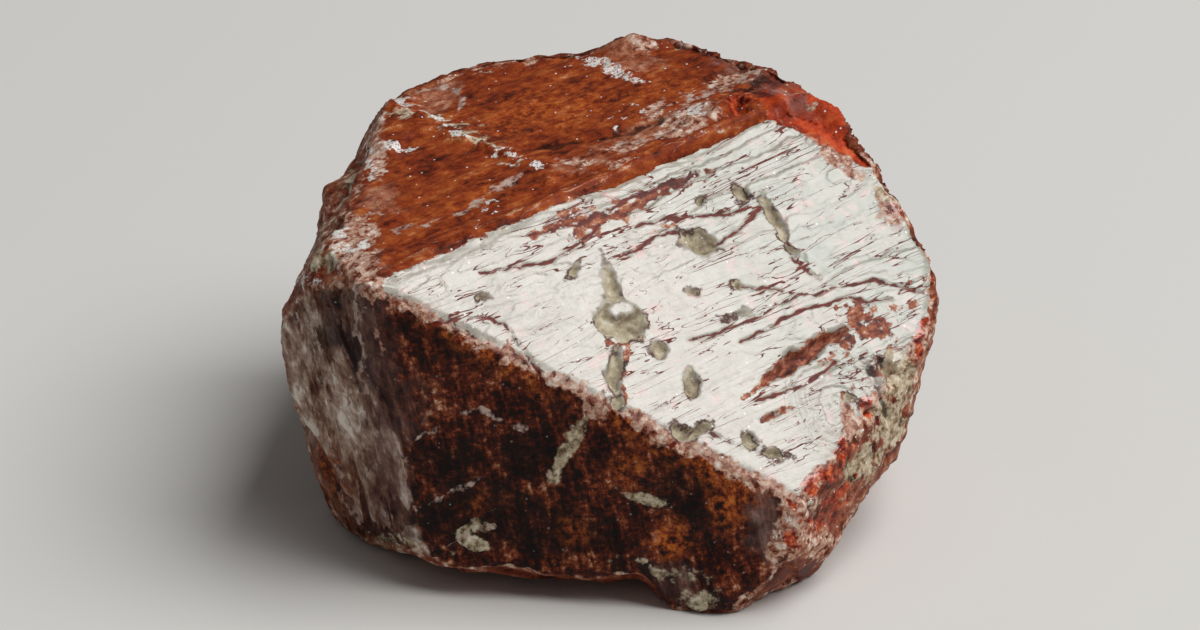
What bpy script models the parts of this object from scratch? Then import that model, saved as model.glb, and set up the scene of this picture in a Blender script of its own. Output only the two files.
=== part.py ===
"""Zircon crystal, a hand specimen about 30 mm across.

The form is a stubby square prism with pyramid faces on its ends. It lies on one side of the
prism with its long axis almost level, so that one pyramid face looks up to the front right.
Breaks trim its corners, the worn edges are chipped, and growth ledges, pits and gouges
mark its faces. The underside is ground off level where the stone rests.
"""

import math

import bmesh
import bpy
from mathutils import Matrix, Vector, noise

MM = 0.001

# The form of the crystal. The ratio of the long axis to the side axes fixes every face angle.
AXIAL_RATIO = 0.9054
AXIS_HEADING = math.radians(35.0)
AXIS_LIFT = math.radians(6.5)
AXIS_ROLL = math.radians(7.5)

# Growth faces: Miller indices, and distance from the middle of the stone in mm
GROWTH_FACES = {
    "bright": ((1, 0, 1), 4.23),
    "top": ((1, 0, 0), 6.19),
    "front": ((0, 1, 1), 7.82),
    "left": ((0, 1, 0), 11.53),
    "right": ((0, -1, 1), 14.4),
    "low_right": ((0, -1, 0), 14.1),
    "low_front": ((-1, 0, 1), 14.6),
    "back_top": ((1, 0, -1), 17.6),
    "back_left": ((0, 1, -1), 14.6),
    "back_right": ((0, -1, -1), 18.0),
    "back_low": ((-1, 0, -1), 14.6),
    "low": ((-1, 0, 0), 12.5),
}

# Breaks: direction that each looks in, as an angle round from the front towards the right and an
# angle of rise, in degrees, and distance from the middle in mm
BREAKS = {
    "right_top": (104.0, 26.0, 14.9),
    "right_low": (84.0, -12.7, 14.9),
    "right_bottom": (75.6, -28.0, 14.5),
    "tip": (56.5, -4.8, 12.76),
    "lobe_low": (37.0, -59.0, 14.5),
    "left_rim": (-86.4, -7.7, 14.95),
    "left_low": (-79.8, -20.7, 15.0),
    "left_bottom": (-54.8, -50.9, 14.5),
    "knob": (-79.3, 42.2, 11.5),
    "left_ledge": (-97.0, 30.0, 12.35),
    "left_back": (-108.9, 28.0, 15.3),
    "upper_left": (-127.8, 52.7, 14.35),
    "upper_back": (-157.3, 63.2, 13.35),
    "upper_right": (159.0, 63.5, 13.75),
    "orange": (82.0, 62.0, 10.35),
    "orange_back": (116.0, 50.0, 14.4),
    "back": (176.0, 4.0, 19.4),
}

# The level underside, and the undercut in front that leaves one lobe standing on it, in mm
BASE_LEVEL = -10.8
BASE_MIDDLE = Vector((0.43, 5.06, BASE_LEVEL))
BASE_SPARE = 0.3
BASE_INSET = 0.9
BASE_SNAP = 0.06
UNDERCUT_RISE = 1.5
UNDERCUT_SLOPE = 0.36
LOBE_LEFT = 1.6
LOBE_BLEND = 1.6
SQUEEZE_HEIGHT = 4.0

# Corner of the bright, top, front and left faces, from which places on the faces are measured
LEFT_CORNER = Vector((-10.26, -6.68, 4.61))

# The cube that the planes are cut from, and how near two points count as one, in mm
BLANK_SIDE = 80.0
CUT_TOLERANCE = 0.0001
WELD_DISTANCE = 0.05
LEVEL_TOLERANCE = 0.001

# Spacing of the surface's points in mm: fine on the bright face, coarser elsewhere
FINE_STEP = 0.80
COARSE_STEP = 1.26
BRIGHT_BELT = 0.3
FLAT_ANGLE = 0.03
DIVIDE_ROUNDS = 8
SMOOTH_ROUNDS = 3
SMOOTH_SHARE = 0.6

# How far under a growth face the relief changes, in mm: the face's own relief, then the start and
# the full strength of broken stone, then those of its outward swells
FACE_BELT = (-0.2, -0.05)
BREAK_BELT = (0.15, 1.3)
SWELL_BELT = (0.8, 3.5)

# Uneven stone: height in mm, and waves for each mm
BREAK_SWELLS = (0.75, 0.17)
BREAK_CHIPS = (0.28, 0.75)
FACE_WAVES = (0.16, 0.45)
LUMP_WAVES = (0.5, 0.9)
UNDERCUT_WAVES = (0.3, 0.5)
LOBE_WAVES = (0.5, 0.4)
SCALLOP_HEIGHT = 0.55
SCALLOP_RATE = 0.27
SCALLOP_LEVEL = 0.6

# Wear of the edges in mm: what is lost everywhere, what is lost in places, and how far it reaches
WEAR = 0.16
WEAR_WAVES = (0.26, 0.55)
WEAR_REACH = 0.5

# Lines and plates on a face: height or shift in mm, waves for each mm along and across, layer
LEDGE_WANDER = (0.5, 0.25, 0.4, 3.0)
BRIGHT_PLATES = (0.07, 0.35, 1.1, 8.0)
SHELLS = (0.22, 0.8, 0.8, 5.0)
TOP_WANDER = (0.6, 0.2, 0.3, 1.0)
TOP_PLATES = (0.12, 0.3, 0.9, 12.0)

# The shelly patch of the bright face: where it starts and is full, along the edge and down the face
SHELLY_ALONG = (15.5, 18.5)
SHELLY_ACROSS = (10.5, 12.5)

# Widths of ledges and of their ends in mm, and shares of a pit's size where its floor ends and
# where its rim ends
LEDGE_BLEND = 0.25
LEDGE_END = 2.0
TOP_LEDGE_BLEND = 0.3
TOP_LEDGE_END = 1.5
PIT_FLOOR = 0.55
PIT_RIM = 1.25

# Pits and gouges of the bright face in mm: place along its upper edge, place down the face,
# half length, half width, turn from the edge in degrees, depth
PITS = (
    (10.0, 6.3, 1.35, 0.85, 50.0, 0.55),
    (8.5, 8.4, 1.30, 0.45, 112.0, 0.45),
    (10.9, 4.5, 0.95, 0.35, 80.0, 0.35),
    (15.6, 4.4, 1.05, 0.65, 35.0, 0.40),
    (19.65, 4.9, 1.25, 0.35, 92.0, 0.45),
    (19.0, 3.0, 0.55, 0.40, 60.0, 0.40),
    (10.8, 8.3, 0.45, 0.45, 0.0, 0.35),
    (11.4, 10.3, 0.60, 0.45, 100.0, 0.40),
    (9.9, 12.2, 0.95, 0.45, 20.0, 0.40),
    (16.2, 11.5, 2.30, 0.65, -4.0, 0.75),
    (19.2, 10.7, 1.60, 0.60, 12.0, 0.60),
    (14.2, 13.1, 1.00, 0.40, 6.0, 0.40),
    (13.0, 14.2, 1.10, 0.45, 25.0, 0.35),
    (18.6, 15.6, 1.50, 0.70, 70.0, 0.80),
)

# Growth ledges of the bright face: place down the face, step height in mm, start along the edge
LEDGES = (
    (1.0, 0.10, 7.0),
    (1.7, 0.16, 11.0),
    (3.0, 0.10, 12.5),
    (8.7, 0.12, 12.0),
    (12.6, 0.10, 16.5),
)

# Ledges of the top face: place back from the edge, step height, start and end along the edge
TOP_LEDGES = (
    (0.9, -0.14, -1.0, 30.0),
    (2.3, -0.22, 12.5, 30.0),
    (12.5, 0.30, 8.0, 13.0),
)

# Lumps and hollows: middle in mm, radius, height out of the surface
LUMPS = (
    ((-13.2, -0.8, 3.6), 2.6, 0.55),
    ((-12.4, 1.4, 2.8), 1.6, -0.55),
    ((-12.6, 10.8, 1.0), 2.8, 0.70),
    ((-12.9, 5.8, 3.2), 1.8, -0.90),
    ((1.6, 18.6, 5.6), 2.6, 1.10),
    ((10.6, 7.2, 7.4), 2.4, 0.50),
    ((13.2, 6.4, 5.0), 1.8, 0.45),
    ((5.6, 8.2, 7.2), 2.0, 0.45),
    ((7.9, 7.0, 7.4), 1.0, -0.60),
    ((13.9, -2.6, -0.4), 1.7, -0.90),
    ((14.0, 4.4, 3.6), 1.6, 0.40),
    ((8.5, 12.2, 6.4), 2.4, 0.45),
    ((5.6, -8.3, -9.6), 2.6, 0.35),
    ((-10.4, 18.6, 0.6), 3.4, -1.00),
    ((5.2, 17.6, 0.4), 3.6, -1.10),
    ((5.0, 17.4, -7.0), 2.6, -0.70),
    ((13.2, 7.6, -7.6), 2.8, -0.80),
    ((-13.8, 2.6, -6.2), 2.4, -0.60),
    ((-12.0, 14.0, 0.4), 2.6, -0.70),
    ((9.4, 11.4, 4.6), 2.6, -0.70),
    ((-3.4, 13.2, -6.4), 3.4, 0.60),
)


def crystal_axes():
    """Give the two side axes and the long axis of the crystal as unit directions."""
    level = math.cos(AXIS_LIFT)
    long_axis = Vector((math.sin(AXIS_HEADING) * level, -math.cos(AXIS_HEADING) * level, math.sin(AXIS_LIFT)))
    upright = (Vector((0, 0, 1)) - long_axis * long_axis.z).normalized()
    sideways = long_axis.cross(upright)
    turn = Matrix.Rotation(AXIS_ROLL, 3, long_axis)
    return turn @ upright, turn @ sideways, long_axis


def face_normal(indices):
    """Turn Miller indices into the outward direction of a growth face."""
    first, second, long_axis = crystal_axes()
    h, k, l = indices
    return (first * h + second * k + long_axis * (l / AXIAL_RATIO)).normalized()


def looking(heading, rise):
    """Give the direction that lies heading degrees round from the front and rise degrees up."""
    heading = math.radians(heading)
    rise = math.radians(rise)
    level = math.cos(rise)
    return Vector((math.sin(heading) * level, -math.cos(heading) * level, math.sin(rise)))


def growth_planes():
    """List each growth face as a normal and a distance in mm."""
    return {name: (face_normal(indices), far) for name, (indices, far) in GROWTH_FACES.items()}


def break_planes():
    """List each break as a normal and a distance in mm."""
    return {name: (looking(heading, rise), far) for name, (heading, rise, far) in BREAKS.items()}


def split_crystal():
    """Cut a large cube by every face and break, as a crystal is bounded by its faces."""
    bm = bmesh.new()
    bmesh.ops.create_cube(bm, size=BLANK_SIDE)
    planes = list(growth_planes().values()) + list(break_planes().values())
    planes.append((Vector((0, 0, -1)), -BASE_LEVEL))
    for normal, far in planes:
        everything = bm.verts[:] + bm.edges[:] + bm.faces[:]
        bmesh.ops.bisect_plane(bm, geom=everything, dist=CUT_TOLERANCE, plane_co=normal * far,
                               plane_no=normal, clear_outer=True)
        open_edges = [edge for edge in bm.edges if edge.is_boundary]
        if open_edges:
            bmesh.ops.holes_fill(bm, edges=open_edges)
    bmesh.ops.remove_doubles(bm, verts=bm.verts[:], dist=WELD_DISTANCE)
    return bm


def step_at(point, bright):
    """Give the longest edge wanted at a place."""
    normal, far = bright
    return FINE_STEP if normal.dot(point) > far - BRIGHT_BELT else COARSE_STEP


def is_flat(edge):
    """Tell whether the two triangles beside an edge lie in one face."""
    return len(edge.link_faces) == 2 and edge.calc_face_angle(1.0) < FLAT_ANGLE


def refine(bm):
    """Divide the faces into small even triangles, keeping every crystal edge in place."""
    bright = growth_planes()["bright"]
    bmesh.ops.triangulate(bm, faces=bm.faces[:])
    for _ in range(DIVIDE_ROUNDS):
        long_edges = [edge for edge in bm.edges
                      if edge.calc_length() > step_at((edge.verts[0].co + edge.verts[1].co) / 2, bright)]
        if not long_edges:
            break
        bmesh.ops.subdivide_edges(bm, edges=long_edges, cuts=1)
        bmesh.ops.triangulate(bm, faces=[face for face in bm.faces if len(face.verts) > 3])
        for _ in range(SMOOTH_ROUNDS):
            bmesh.ops.beautify_fill(bm, faces=bm.faces[:], edges=[edge for edge in bm.edges if is_flat(edge)])
            inner = [vert for vert in bm.verts if all(is_flat(edge) for edge in vert.link_edges)]
            places = [sum((edge.other_vert(vert).co for edge in vert.link_edges), Vector()) / len(vert.link_edges)
                      for vert in inner]
            for vert, place in zip(inner, places):
                vert.co = vert.co.lerp(place, SMOOTH_SHARE)
    bm.normal_update()


def ramp(value, low, high):
    """Rise smoothly from 0 at low to 1 at high."""
    share = min(max((value - low) / (high - low), 0.0), 1.0)
    return share * share * (3.0 - 2.0 * share)


def waves(point, kind):
    """Give the height of uneven stone at a point."""
    height, rate = kind
    return height * noise.noise(point * rate)


def face_waves(along, across, kind):
    """Give the height of lines or plates at a place on a face."""
    height, along_rate, across_rate, layer = kind
    return height * noise.noise(Vector((along * along_rate, across * across_rate, layer)))


def face_place(point, along, normal):
    """Give a point's place on a face: along its main edge, and away from that edge."""
    offset = point - LEFT_CORNER
    return offset.dot(along), abs(offset.dot(normal.cross(along)))


def pit_depth(along, across, pit):
    """Give how deep one pit is at a place on the bright face."""
    middle_along, middle_across, half_length, half_width, turn, depth = pit
    turn = math.radians(turn)
    x = along - middle_along
    y = across - middle_across
    lengthwise = (x * math.cos(turn) + y * math.sin(turn)) / half_length
    crosswise = (y * math.cos(turn) - x * math.sin(turn)) / half_width
    return depth * (1.0 - ramp(math.hypot(lengthwise, crosswise), PIT_FLOOR, PIT_RIM))


def bright_relief(point, along_edge, normal):
    """Give the height of the bright face's ledges and pits."""
    along, across = face_place(point, along_edge, normal)
    place_now = across + face_waves(along, across, LEDGE_WANDER)
    height = face_waves(along, across, BRIGHT_PLATES)
    for place, step, start in LEDGES:
        above = 1.0 - ramp(place_now, place - LEDGE_BLEND, place + LEDGE_BLEND)
        height -= step * above * ramp(along, start, start + LEDGE_END)
    shelly = ramp(along, *SHELLY_ALONG) * ramp(across, *SHELLY_ACROSS)
    height += shelly * face_waves(along, across, SHELLS)
    return height - max(pit_depth(along, across, pit) for pit in PITS)


def top_relief(point, along_edge, normal):
    """Give the height of the top face's ledges and fine steps."""
    along, across = face_place(point, along_edge, normal)
    place_now = across + face_waves(along, across, TOP_WANDER)
    height = face_waves(along, across, TOP_PLATES)
    for place, step, start, end in TOP_LEDGES:
        inside = ramp(along, start, start + TOP_LEDGE_END) * (1.0 - ramp(along, end - TOP_LEDGE_END, end))
        height += step * ramp(place_now, place - TOP_LEDGE_BLEND, place + TOP_LEDGE_BLEND) * inside
    return height


def rough_relief(point):
    """Give the height of broken stone: broad scallops with small sharp chips."""
    scallop = SCALLOP_HEIGHT * (SCALLOP_LEVEL - noise.voronoi(point * SCALLOP_RATE)[0][0])
    return waves(point, BREAK_SWELLS) + scallop + waves(point, BREAK_CHIPS)


def lump_height(point):
    """Give how far the lumps and hollows raise or lower the surface at a point."""
    uneven = 1.0 + waves(point, LUMP_WAVES)
    height = 0.0
    for middle, radius, rise in LUMPS:
        away = (point - Vector(middle)).length / radius
        height += rise * (1.0 - ramp(away, 0.0, 1.0)) * uneven
    return height


def carve(bm):
    """Push every point in or out by the relief of the face or break that it lies on."""
    faces = growth_planes()
    breaks = break_planes()
    bright_normal = faces["bright"][0]
    top_normal = faces["top"][0]
    edge_line = bright_normal.cross(top_normal).normalized()
    if edge_line.x < 0:
        edge_line = -edge_line
    moves = []
    for vert in bm.verts:
        point = vert.co
        depths = {name: normal.dot(point) - far for name, (normal, far) in faces.items()}
        growth_depth = max(depths.values())
        broken = ramp(-growth_depth, *BREAK_BELT)
        away = ramp(-growth_depth, *SWELL_BELT)
        nearest = sorted(list(depths.values()) + [n.dot(point) - far for n, far in breaks.values()])[-2]
        wear = (WEAR + max(waves(point, WEAR_WAVES), 0.0)) * ramp(nearest, -WEAR_REACH, 0.0)
        rough = rough_relief(point)
        height = broken * min(rough, 0.0) + away * max(rough, 0.0) - wear
        on_bright = ramp(depths["bright"], *FACE_BELT)
        on_top = ramp(depths["top"], *FACE_BELT) * (1.0 - on_bright)
        height += on_bright * bright_relief(point, edge_line, bright_normal)
        height += on_top * top_relief(point, edge_line, top_normal)
        plain = (1.0 - broken) * (1.0 - on_bright) * (1.0 - on_top)
        height += plain * waves(point, FACE_WAVES) + lump_height(point)
        if point.z < BASE_LEVEL + BASE_SNAP and nearest < -BASE_INSET:
            height = BASE_SPARE
        moves.append(height)
    for vert, height in zip(bm.verts, moves):
        vert.co += vert.normal * height
    bm.normal_update()


def undercut(bm):
    """Raise the front of the underside left of the lobe, as the broken lower rim does."""
    front_normal, front_far = growth_planes()["front"]
    for vert in bm.verts:
        point = vert.co
        behind = max(front_far - front_normal.dot(point), 0.0)
        lift = max(UNDERCUT_RISE + waves(point, UNDERCUT_WAVES) - UNDERCUT_SLOPE * behind, 0.0)
        left_of_lobe = 1.0 - ramp(point.x + waves(point, LOBE_WAVES), LOBE_LEFT, LOBE_LEFT + LOBE_BLEND)
        near_base = 1.0 - ramp(point.z, BASE_LEVEL, BASE_LEVEL + SQUEEZE_HEIGHT)
        point.z += lift * left_of_lobe * near_base
    bm.normal_update()


def level_base(bm):
    """Cut the underside off level, so that the stone rests on a flat face."""
    for vert in bm.verts:
        if abs(vert.co.z - BASE_LEVEL) < BASE_SNAP:
            vert.co.z = BASE_LEVEL
    everything = bm.verts[:] + bm.edges[:] + bm.faces[:]
    bmesh.ops.bisect_plane(bm, geom=everything, dist=LEVEL_TOLERANCE, plane_co=(0, 0, BASE_LEVEL),
                           plane_no=(0, 0, -1), clear_outer=True)
    rim = [edge for edge in bm.edges if edge.is_boundary]
    bmesh.ops.triangle_fill(bm, use_beauty=True, use_dissolve=False, edges=rim)
    bmesh.ops.triangulate(bm, faces=[face for face in bm.faces if len(face.verts) > 3])
    loose = [edge for edge in bm.edges if not edge.link_faces]
    bmesh.ops.delete(bm, geom=loose, context="EDGES")
    bmesh.ops.recalc_face_normals(bm, faces=bm.faces[:])


def crystal_material():
    """Red-brown translucent stone with a glassy to greasy shine."""
    material = bpy.data.materials.new("zircon")
    material.use_nodes = True
    shader = material.node_tree.nodes["Principled BSDF"]
    shader.inputs["Base Color"].default_value = (0.24, 0.06, 0.03, 1.0)
    shader.inputs["Roughness"].default_value = 0.32
    shader.inputs["Metallic"].default_value = 0.0
    return material


def build_crystal():
    """Make the stone, with its origin in the middle of the base."""
    bm = split_crystal()
    refine(bm)
    carve(bm)
    undercut(bm)
    level_base(bm)
    low = [min(vert.co[axis] for vert in bm.verts) for axis in range(3)]
    high = [max(vert.co[axis] for vert in bm.verts) for axis in range(3)]
    for vert in bm.verts:
        vert.co = (vert.co - BASE_MIDDLE) * MM
    mesh = bpy.data.meshes.new("zircon_crystal")
    bm.to_mesh(mesh)
    bm.free()
    mesh.materials.append(crystal_material())
    stone = bpy.data.objects.new("zircon_crystal", mesh)
    bpy.context.scene.collection.objects.link(stone)
    print("stone size in mm", [round(high[axis] - low[axis], 2) for axis in range(3)])
    print("middle of its box in mm", [round((high[axis] + low[axis]) / 2, 3) for axis in range(3)])
    print("triangles", len(mesh.polygons))


for item in list(bpy.data.objects):
    bpy.data.objects.remove(item, do_unlink=True)
build_crystal()
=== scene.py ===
# %% [markdown]
# # A zircon crystal
#
# This lesson dresses one stone: a stubby zircon crystal, 30 mm across, that grew as a square prism
# with pyramid faces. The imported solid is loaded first. It fixes where the stone stands and how
# large it is, so nothing below moves or resizes it.

# %% Load the frame
import math

import bpy
import numpy as np
from mathutils import Matrix, Vector, noise


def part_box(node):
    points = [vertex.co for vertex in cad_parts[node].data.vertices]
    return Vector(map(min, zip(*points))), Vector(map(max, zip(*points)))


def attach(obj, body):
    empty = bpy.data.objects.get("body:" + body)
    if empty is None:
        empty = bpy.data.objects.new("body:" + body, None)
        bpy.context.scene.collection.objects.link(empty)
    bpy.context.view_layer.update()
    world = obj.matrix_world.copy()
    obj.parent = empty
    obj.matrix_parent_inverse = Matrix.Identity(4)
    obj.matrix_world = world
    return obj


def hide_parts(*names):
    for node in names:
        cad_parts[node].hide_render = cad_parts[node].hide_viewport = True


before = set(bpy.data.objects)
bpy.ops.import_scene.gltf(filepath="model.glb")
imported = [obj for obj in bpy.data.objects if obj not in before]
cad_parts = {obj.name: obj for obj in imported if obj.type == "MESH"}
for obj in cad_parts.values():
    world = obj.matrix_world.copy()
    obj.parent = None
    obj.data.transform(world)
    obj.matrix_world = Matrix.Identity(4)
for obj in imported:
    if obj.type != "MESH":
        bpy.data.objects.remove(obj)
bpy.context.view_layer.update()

MM = 0.001
low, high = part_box("zircon_crystal")
print("the solid's box in mm:", [round(side / MM, 1) for side in (high - low)])

# %% [markdown]
# ## The angles of the crystal
#
# A crystal is measured by its angles. Zircon has two equal side axes and a third, the axis of its
# prism. One unit along that axis is 0.9054 of a unit along the others, and this ratio fixes how the
# pyramid faces lean. Three turns then say how the stone lies: where the prism's axis points, how
# far it lifts off level, and how the prism is rolled about it.
# Each face is named by three small whole numbers, its Miller indices, and stands at a distance
# from the middle of the stone. All of these are the same values that the solid was made from.

# %% Axes and faces
AXIAL_RATIO = 0.9054
AXIS_HEADING = math.radians(35.0)
AXIS_LIFT = math.radians(6.5)
AXIS_ROLL = math.radians(7.5)

GROWTH_FACES = {
    "bright": ((1, 0, 1), 4.23),
    "top": ((1, 0, 0), 6.19),
    "front": ((0, 1, 1), 7.82),
    "left": ((0, 1, 0), 11.53),
    "right": ((0, -1, 1), 14.4),
    "low_right": ((0, -1, 0), 14.1),
    "low_front": ((-1, 0, 1), 14.6),
    "back_top": ((1, 0, -1), 17.6),
    "back_left": ((0, 1, -1), 14.6),
    "back_right": ((0, -1, -1), 18.0),
    "back_low": ((-1, 0, -1), 14.6),
    "low": ((-1, 0, 0), 12.5),
}

level = math.cos(AXIS_LIFT)
prism_axis = Vector((math.sin(AXIS_HEADING) * level, -math.cos(AXIS_HEADING) * level, math.sin(AXIS_LIFT)))
upright = (Vector((0, 0, 1)) - prism_axis * prism_axis.z).normalized()
roll = Matrix.Rotation(AXIS_ROLL, 3, prism_axis)
first_axis = roll @ upright
second_axis = roll @ prism_axis.cross(upright)


def face_normal(indices):
    h, k, l = indices
    return (first_axis * h + second_axis * k + prism_axis * (l / AXIAL_RATIO)).normalized()


growth_planes = {name: (face_normal(indices), far) for name, (indices, far) in GROWTH_FACES.items()}
lean = math.degrees(growth_planes["bright"][0].angle(prism_axis))
print("the bright pyramid face leans", round(lean, 1), "degrees from the prism's axis")

# %% [markdown]
# ## The breaks
#
# Most corners of the stone are broken off. Each break starts as a plane too, given by the way it
# looks: an angle round from the front towards the right, an angle of rise, and a distance.

# %% Breaks
BREAKS = {
    "right_top": (104.0, 26.0, 14.9),
    "right_low": (84.0, -12.7, 14.9),
    "right_bottom": (75.6, -28.0, 14.5),
    "tip": (56.5, -4.8, 12.76),
    "lobe_low": (37.0, -59.0, 14.5),
    "left_rim": (-86.4, -7.7, 14.95),
    "left_low": (-79.8, -20.7, 15.0),
    "left_bottom": (-54.8, -50.9, 14.5),
    "knob": (-79.3, 42.2, 11.5),
    "left_ledge": (-97.0, 30.0, 12.35),
    "left_back": (-108.9, 28.0, 15.3),
    "upper_left": (-127.8, 52.7, 14.35),
    "upper_back": (-157.3, 63.2, 13.35),
    "upper_right": (159.0, 63.5, 13.75),
    "orange": (82.0, 62.0, 10.35),
    "orange_back": (116.0, 50.0, 14.4),
    "back": (176.0, 4.0, 19.4),
}
BASE_LEVEL = -10.8
BASE_MIDDLE = Vector((0.43, 5.06, BASE_LEVEL))


def looking(heading, rise):
    heading = math.radians(heading)
    rise = math.radians(rise)
    level = math.cos(rise)
    return Vector((math.sin(heading) * level, -math.cos(heading) * level, math.sin(rise)))


break_planes = {name: (looking(heading, rise), far) for name, (heading, rise, far) in BREAKS.items()}
print(len(growth_planes), "growth faces and", len(break_planes), "breaks")

# %% [markdown]
# ## Cutting the stone from a cube
#
# A flat-faced crystal could be drawn corner by corner, but its corners are not known: they are
# only where faces meet. So a large cube is cut in edit mode by the Bisect tool, once for each
# plane, which throws away the outer side and fills the cut. What is left is the crystal.

# %% Cut
CUBE_SIDE = 80.0
CUT_TOLERANCE = 1e-6


def place_in_frame(point):
    """A point in mm from the middle of the stone, as a place in the frame in metres."""
    return (Vector(point) - BASE_MIDDLE) * MM


bpy.ops.object.select_all(action="DESELECT")
bpy.ops.mesh.primitive_cube_add(size=CUBE_SIDE * MM, location=place_in_frame((0, 0, 0)))
stone = bpy.context.object
stone.name = "zircon_stone"
stone.data.name = "zircon_stone"
bpy.ops.object.transform_apply(location=True, rotation=True, scale=True)
bpy.ops.object.mode_set(mode="EDIT")
base_plane = (Vector((0, 0, -1)), -BASE_LEVEL)
for normal, far in [*growth_planes.values(), *break_planes.values(), base_plane]:
    bpy.ops.mesh.select_all(action="SELECT")
    bpy.ops.mesh.bisect(plane_co=place_in_frame(normal * far), plane_no=normal, use_fill=True,
                        clear_outer=True, threshold=CUT_TOLERANCE)
bpy.ops.object.mode_set(mode="OBJECT")
print("the cut stone has", len(stone.data.polygons), "flat faces and", len(stone.data.vertices), "corners")

# %% [markdown]
# ## An even skin of small faces
#
# Relief needs points to move. The Remesh modifier lays an even net over the stone, and it also
# rounds the sharpest edges by about one cell, as handling does to a real stone. The bright face
# carries the finest marks, so its part of the net is subdivided once more.

# %% Remesh
CELL = 0.22
EDGE_MARGIN = 0.5

remesh = stone.modifiers.new("even skin", "REMESH")
remesh.mode = "VOXEL"
remesh.voxel_size = CELL * MM
bpy.ops.object.modifier_apply(modifier=remesh.name)


def vectors(items, field):
    values = np.empty(len(items) * 3, np.float32)
    items.foreach_get(field, values)
    return values.reshape(-1, 3).astype(float)


def from_middle(places):
    """Places in the frame in metres, as mm from the middle of the stone."""
    return places / MM + np.array(BASE_MIDDLE)


def depth_in(points, plane):
    """How far points stand out of a plane, in mm: 0 on it, less than 0 inside the stone."""
    normal, far = plane
    return points @ np.array(normal) - far


centres = from_middle(vectors(stone.data.polygons, "center"))
stone.data.polygons.foreach_set("select", depth_in(centres, growth_planes["bright"]) > -EDGE_MARGIN)
stone.data.update()
bpy.ops.object.mode_set(mode="EDIT")
bpy.ops.mesh.select_mode(type="FACE")
bpy.ops.mesh.subdivide(number_cuts=1)
bpy.ops.object.mode_set(mode="OBJECT")
print("the skin has", len(stone.data.vertices), "points")

# %% [markdown]
# ## Places on each face
#
# The photograph's marks are easiest to set out on the face that carries them. Every place below is
# in mm from the left corner of the bright face: first along the face's main edge, then across the
# face. The bright face and the top share one edge, the bright face and the front share another.

# %% Face places
LEFT_CORNER = np.array((-10.26, -6.68, 4.61))


def shared_edge(one, other, towards):
    """The direction of the edge between two growth faces."""
    edge = growth_planes[one][0].cross(growth_planes[other][0]).normalized()
    return edge if edge.dot(Vector(towards)) > 0 else -edge


TOP_EDGE = shared_edge("bright", "top", (1, 0, 0))
FRONT_EDGE = shared_edge("bright", "front", (1, 0, 0))
LEFT_EDGE = shared_edge("left", "front", (0, 0, -1))


def places_on(points, face, edge, towards):
    """Places on a face: along its edge, and across it towards a direction."""
    across = growth_planes[face][0].cross(edge)
    if across.dot(Vector(towards)) < 0:
        across = -across
    offset = points - LEFT_CORNER
    return offset @ np.array(edge), offset @ np.array(across)


mesh = stone.data
points = from_middle(vectors(mesh.vertices, "co"))
bright_u, bright_v = places_on(points, "bright", TOP_EDGE, (0, 0, -1))
top_u, top_v = places_on(points, "top", TOP_EDGE, (0, 1, 0))
front_u, front_v = places_on(points, "front", FRONT_EDGE, (0, 0, -1))
left_u, left_v = places_on(points, "left", LEFT_EDGE, (-1, 0, 0))
print("the top edge runs", [round(value, 2) for value in TOP_EDGE])

# %% [markdown]
# ## Noise and shapes for the relief
#
# Relief is drawn as a height for every point, and the point then moves that far along its normal.
# Blender's noise gives heights that look natural and come out the same every time. Stretched
# noise makes growth lines, and cell noise makes the scallops of a break. Ovals and lines, bent a
# little by noise, give the marks that have a known place.

# %% Relief helpers
FAR_AWAY = 99.0


def ramp(values, start, end):
    share = np.clip((values - start) / (end - start), 0.0, 1.0)
    return share * share * (3.0 - 2.0 * share)


def noise_at(x, y, z):
    """Smooth noise from about -1 to 1 at each point."""
    return np.array([noise.noise(place) for place in zip(x, y, z)])


def noise_in(points, per_mm, shift=0.0):
    scaled = points * per_mm + shift
    return noise_at(scaled[:, 0], scaled[:, 1], scaled[:, 2])


def waves(u, v, per_u, per_v, layer):
    """Noise over a face, with so many lumps for each mm along it and across it."""
    return noise_at(u * per_u, v * per_v, np.full(len(u), layer))


def cells_in(points, per_mm):
    """Distance to the nearest cell centre and to the next one, in cell sizes."""
    found = [noise.voronoi(place)[0][:2] for place in points * per_mm]
    return np.array(found).T


def oval(u, v, shape):
    """How far inside an oval each place is, in mm: more than 0 inside, less outside."""
    middle_u, middle_v, half_length, half_width, turn = shape
    turn = math.radians(turn)
    x = u - middle_u
    y = v - middle_v
    lengthwise = (x * math.cos(turn) + y * math.sin(turn)) / half_length
    crosswise = (y * math.cos(turn) - x * math.sin(turn)) / half_width
    return (1.0 - np.hypot(lengthwise, crosswise)) * min(half_length, half_width)


def line(u, v, corners):
    """Distance from each place to a line drawn through its corners, in mm."""
    nearest = np.full(len(u), FAR_AWAY)
    for (u0, v0), (u1, v1) in zip(corners, corners[1:]):
        along_u, along_v = u1 - u0, v1 - v0
        share = ((u - u0) * along_u + (v - v0) * along_v) / (along_u ** 2 + along_v ** 2)
        share = np.clip(share, 0.0, 1.0)
        nearest = np.minimum(nearest, np.hypot(u - u0 - share * along_u, v - v0 - share * along_v))
    return nearest


# %% [markdown]
# Marks of the broken and uneven parts are set out on the stone as the photograph shows it: from
# the front and 25 degrees above, a quarter of a metre away. Each point gets its place to the right
# and up from the middle of the stone, in mm, and points that face away get none. The border of the
# clear orange break is the first such mark.

# %% Seen places
SEEN_RISE = math.radians(25.0)
SEEN_FROM = 250.0
HIDDEN = 99.0

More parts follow.
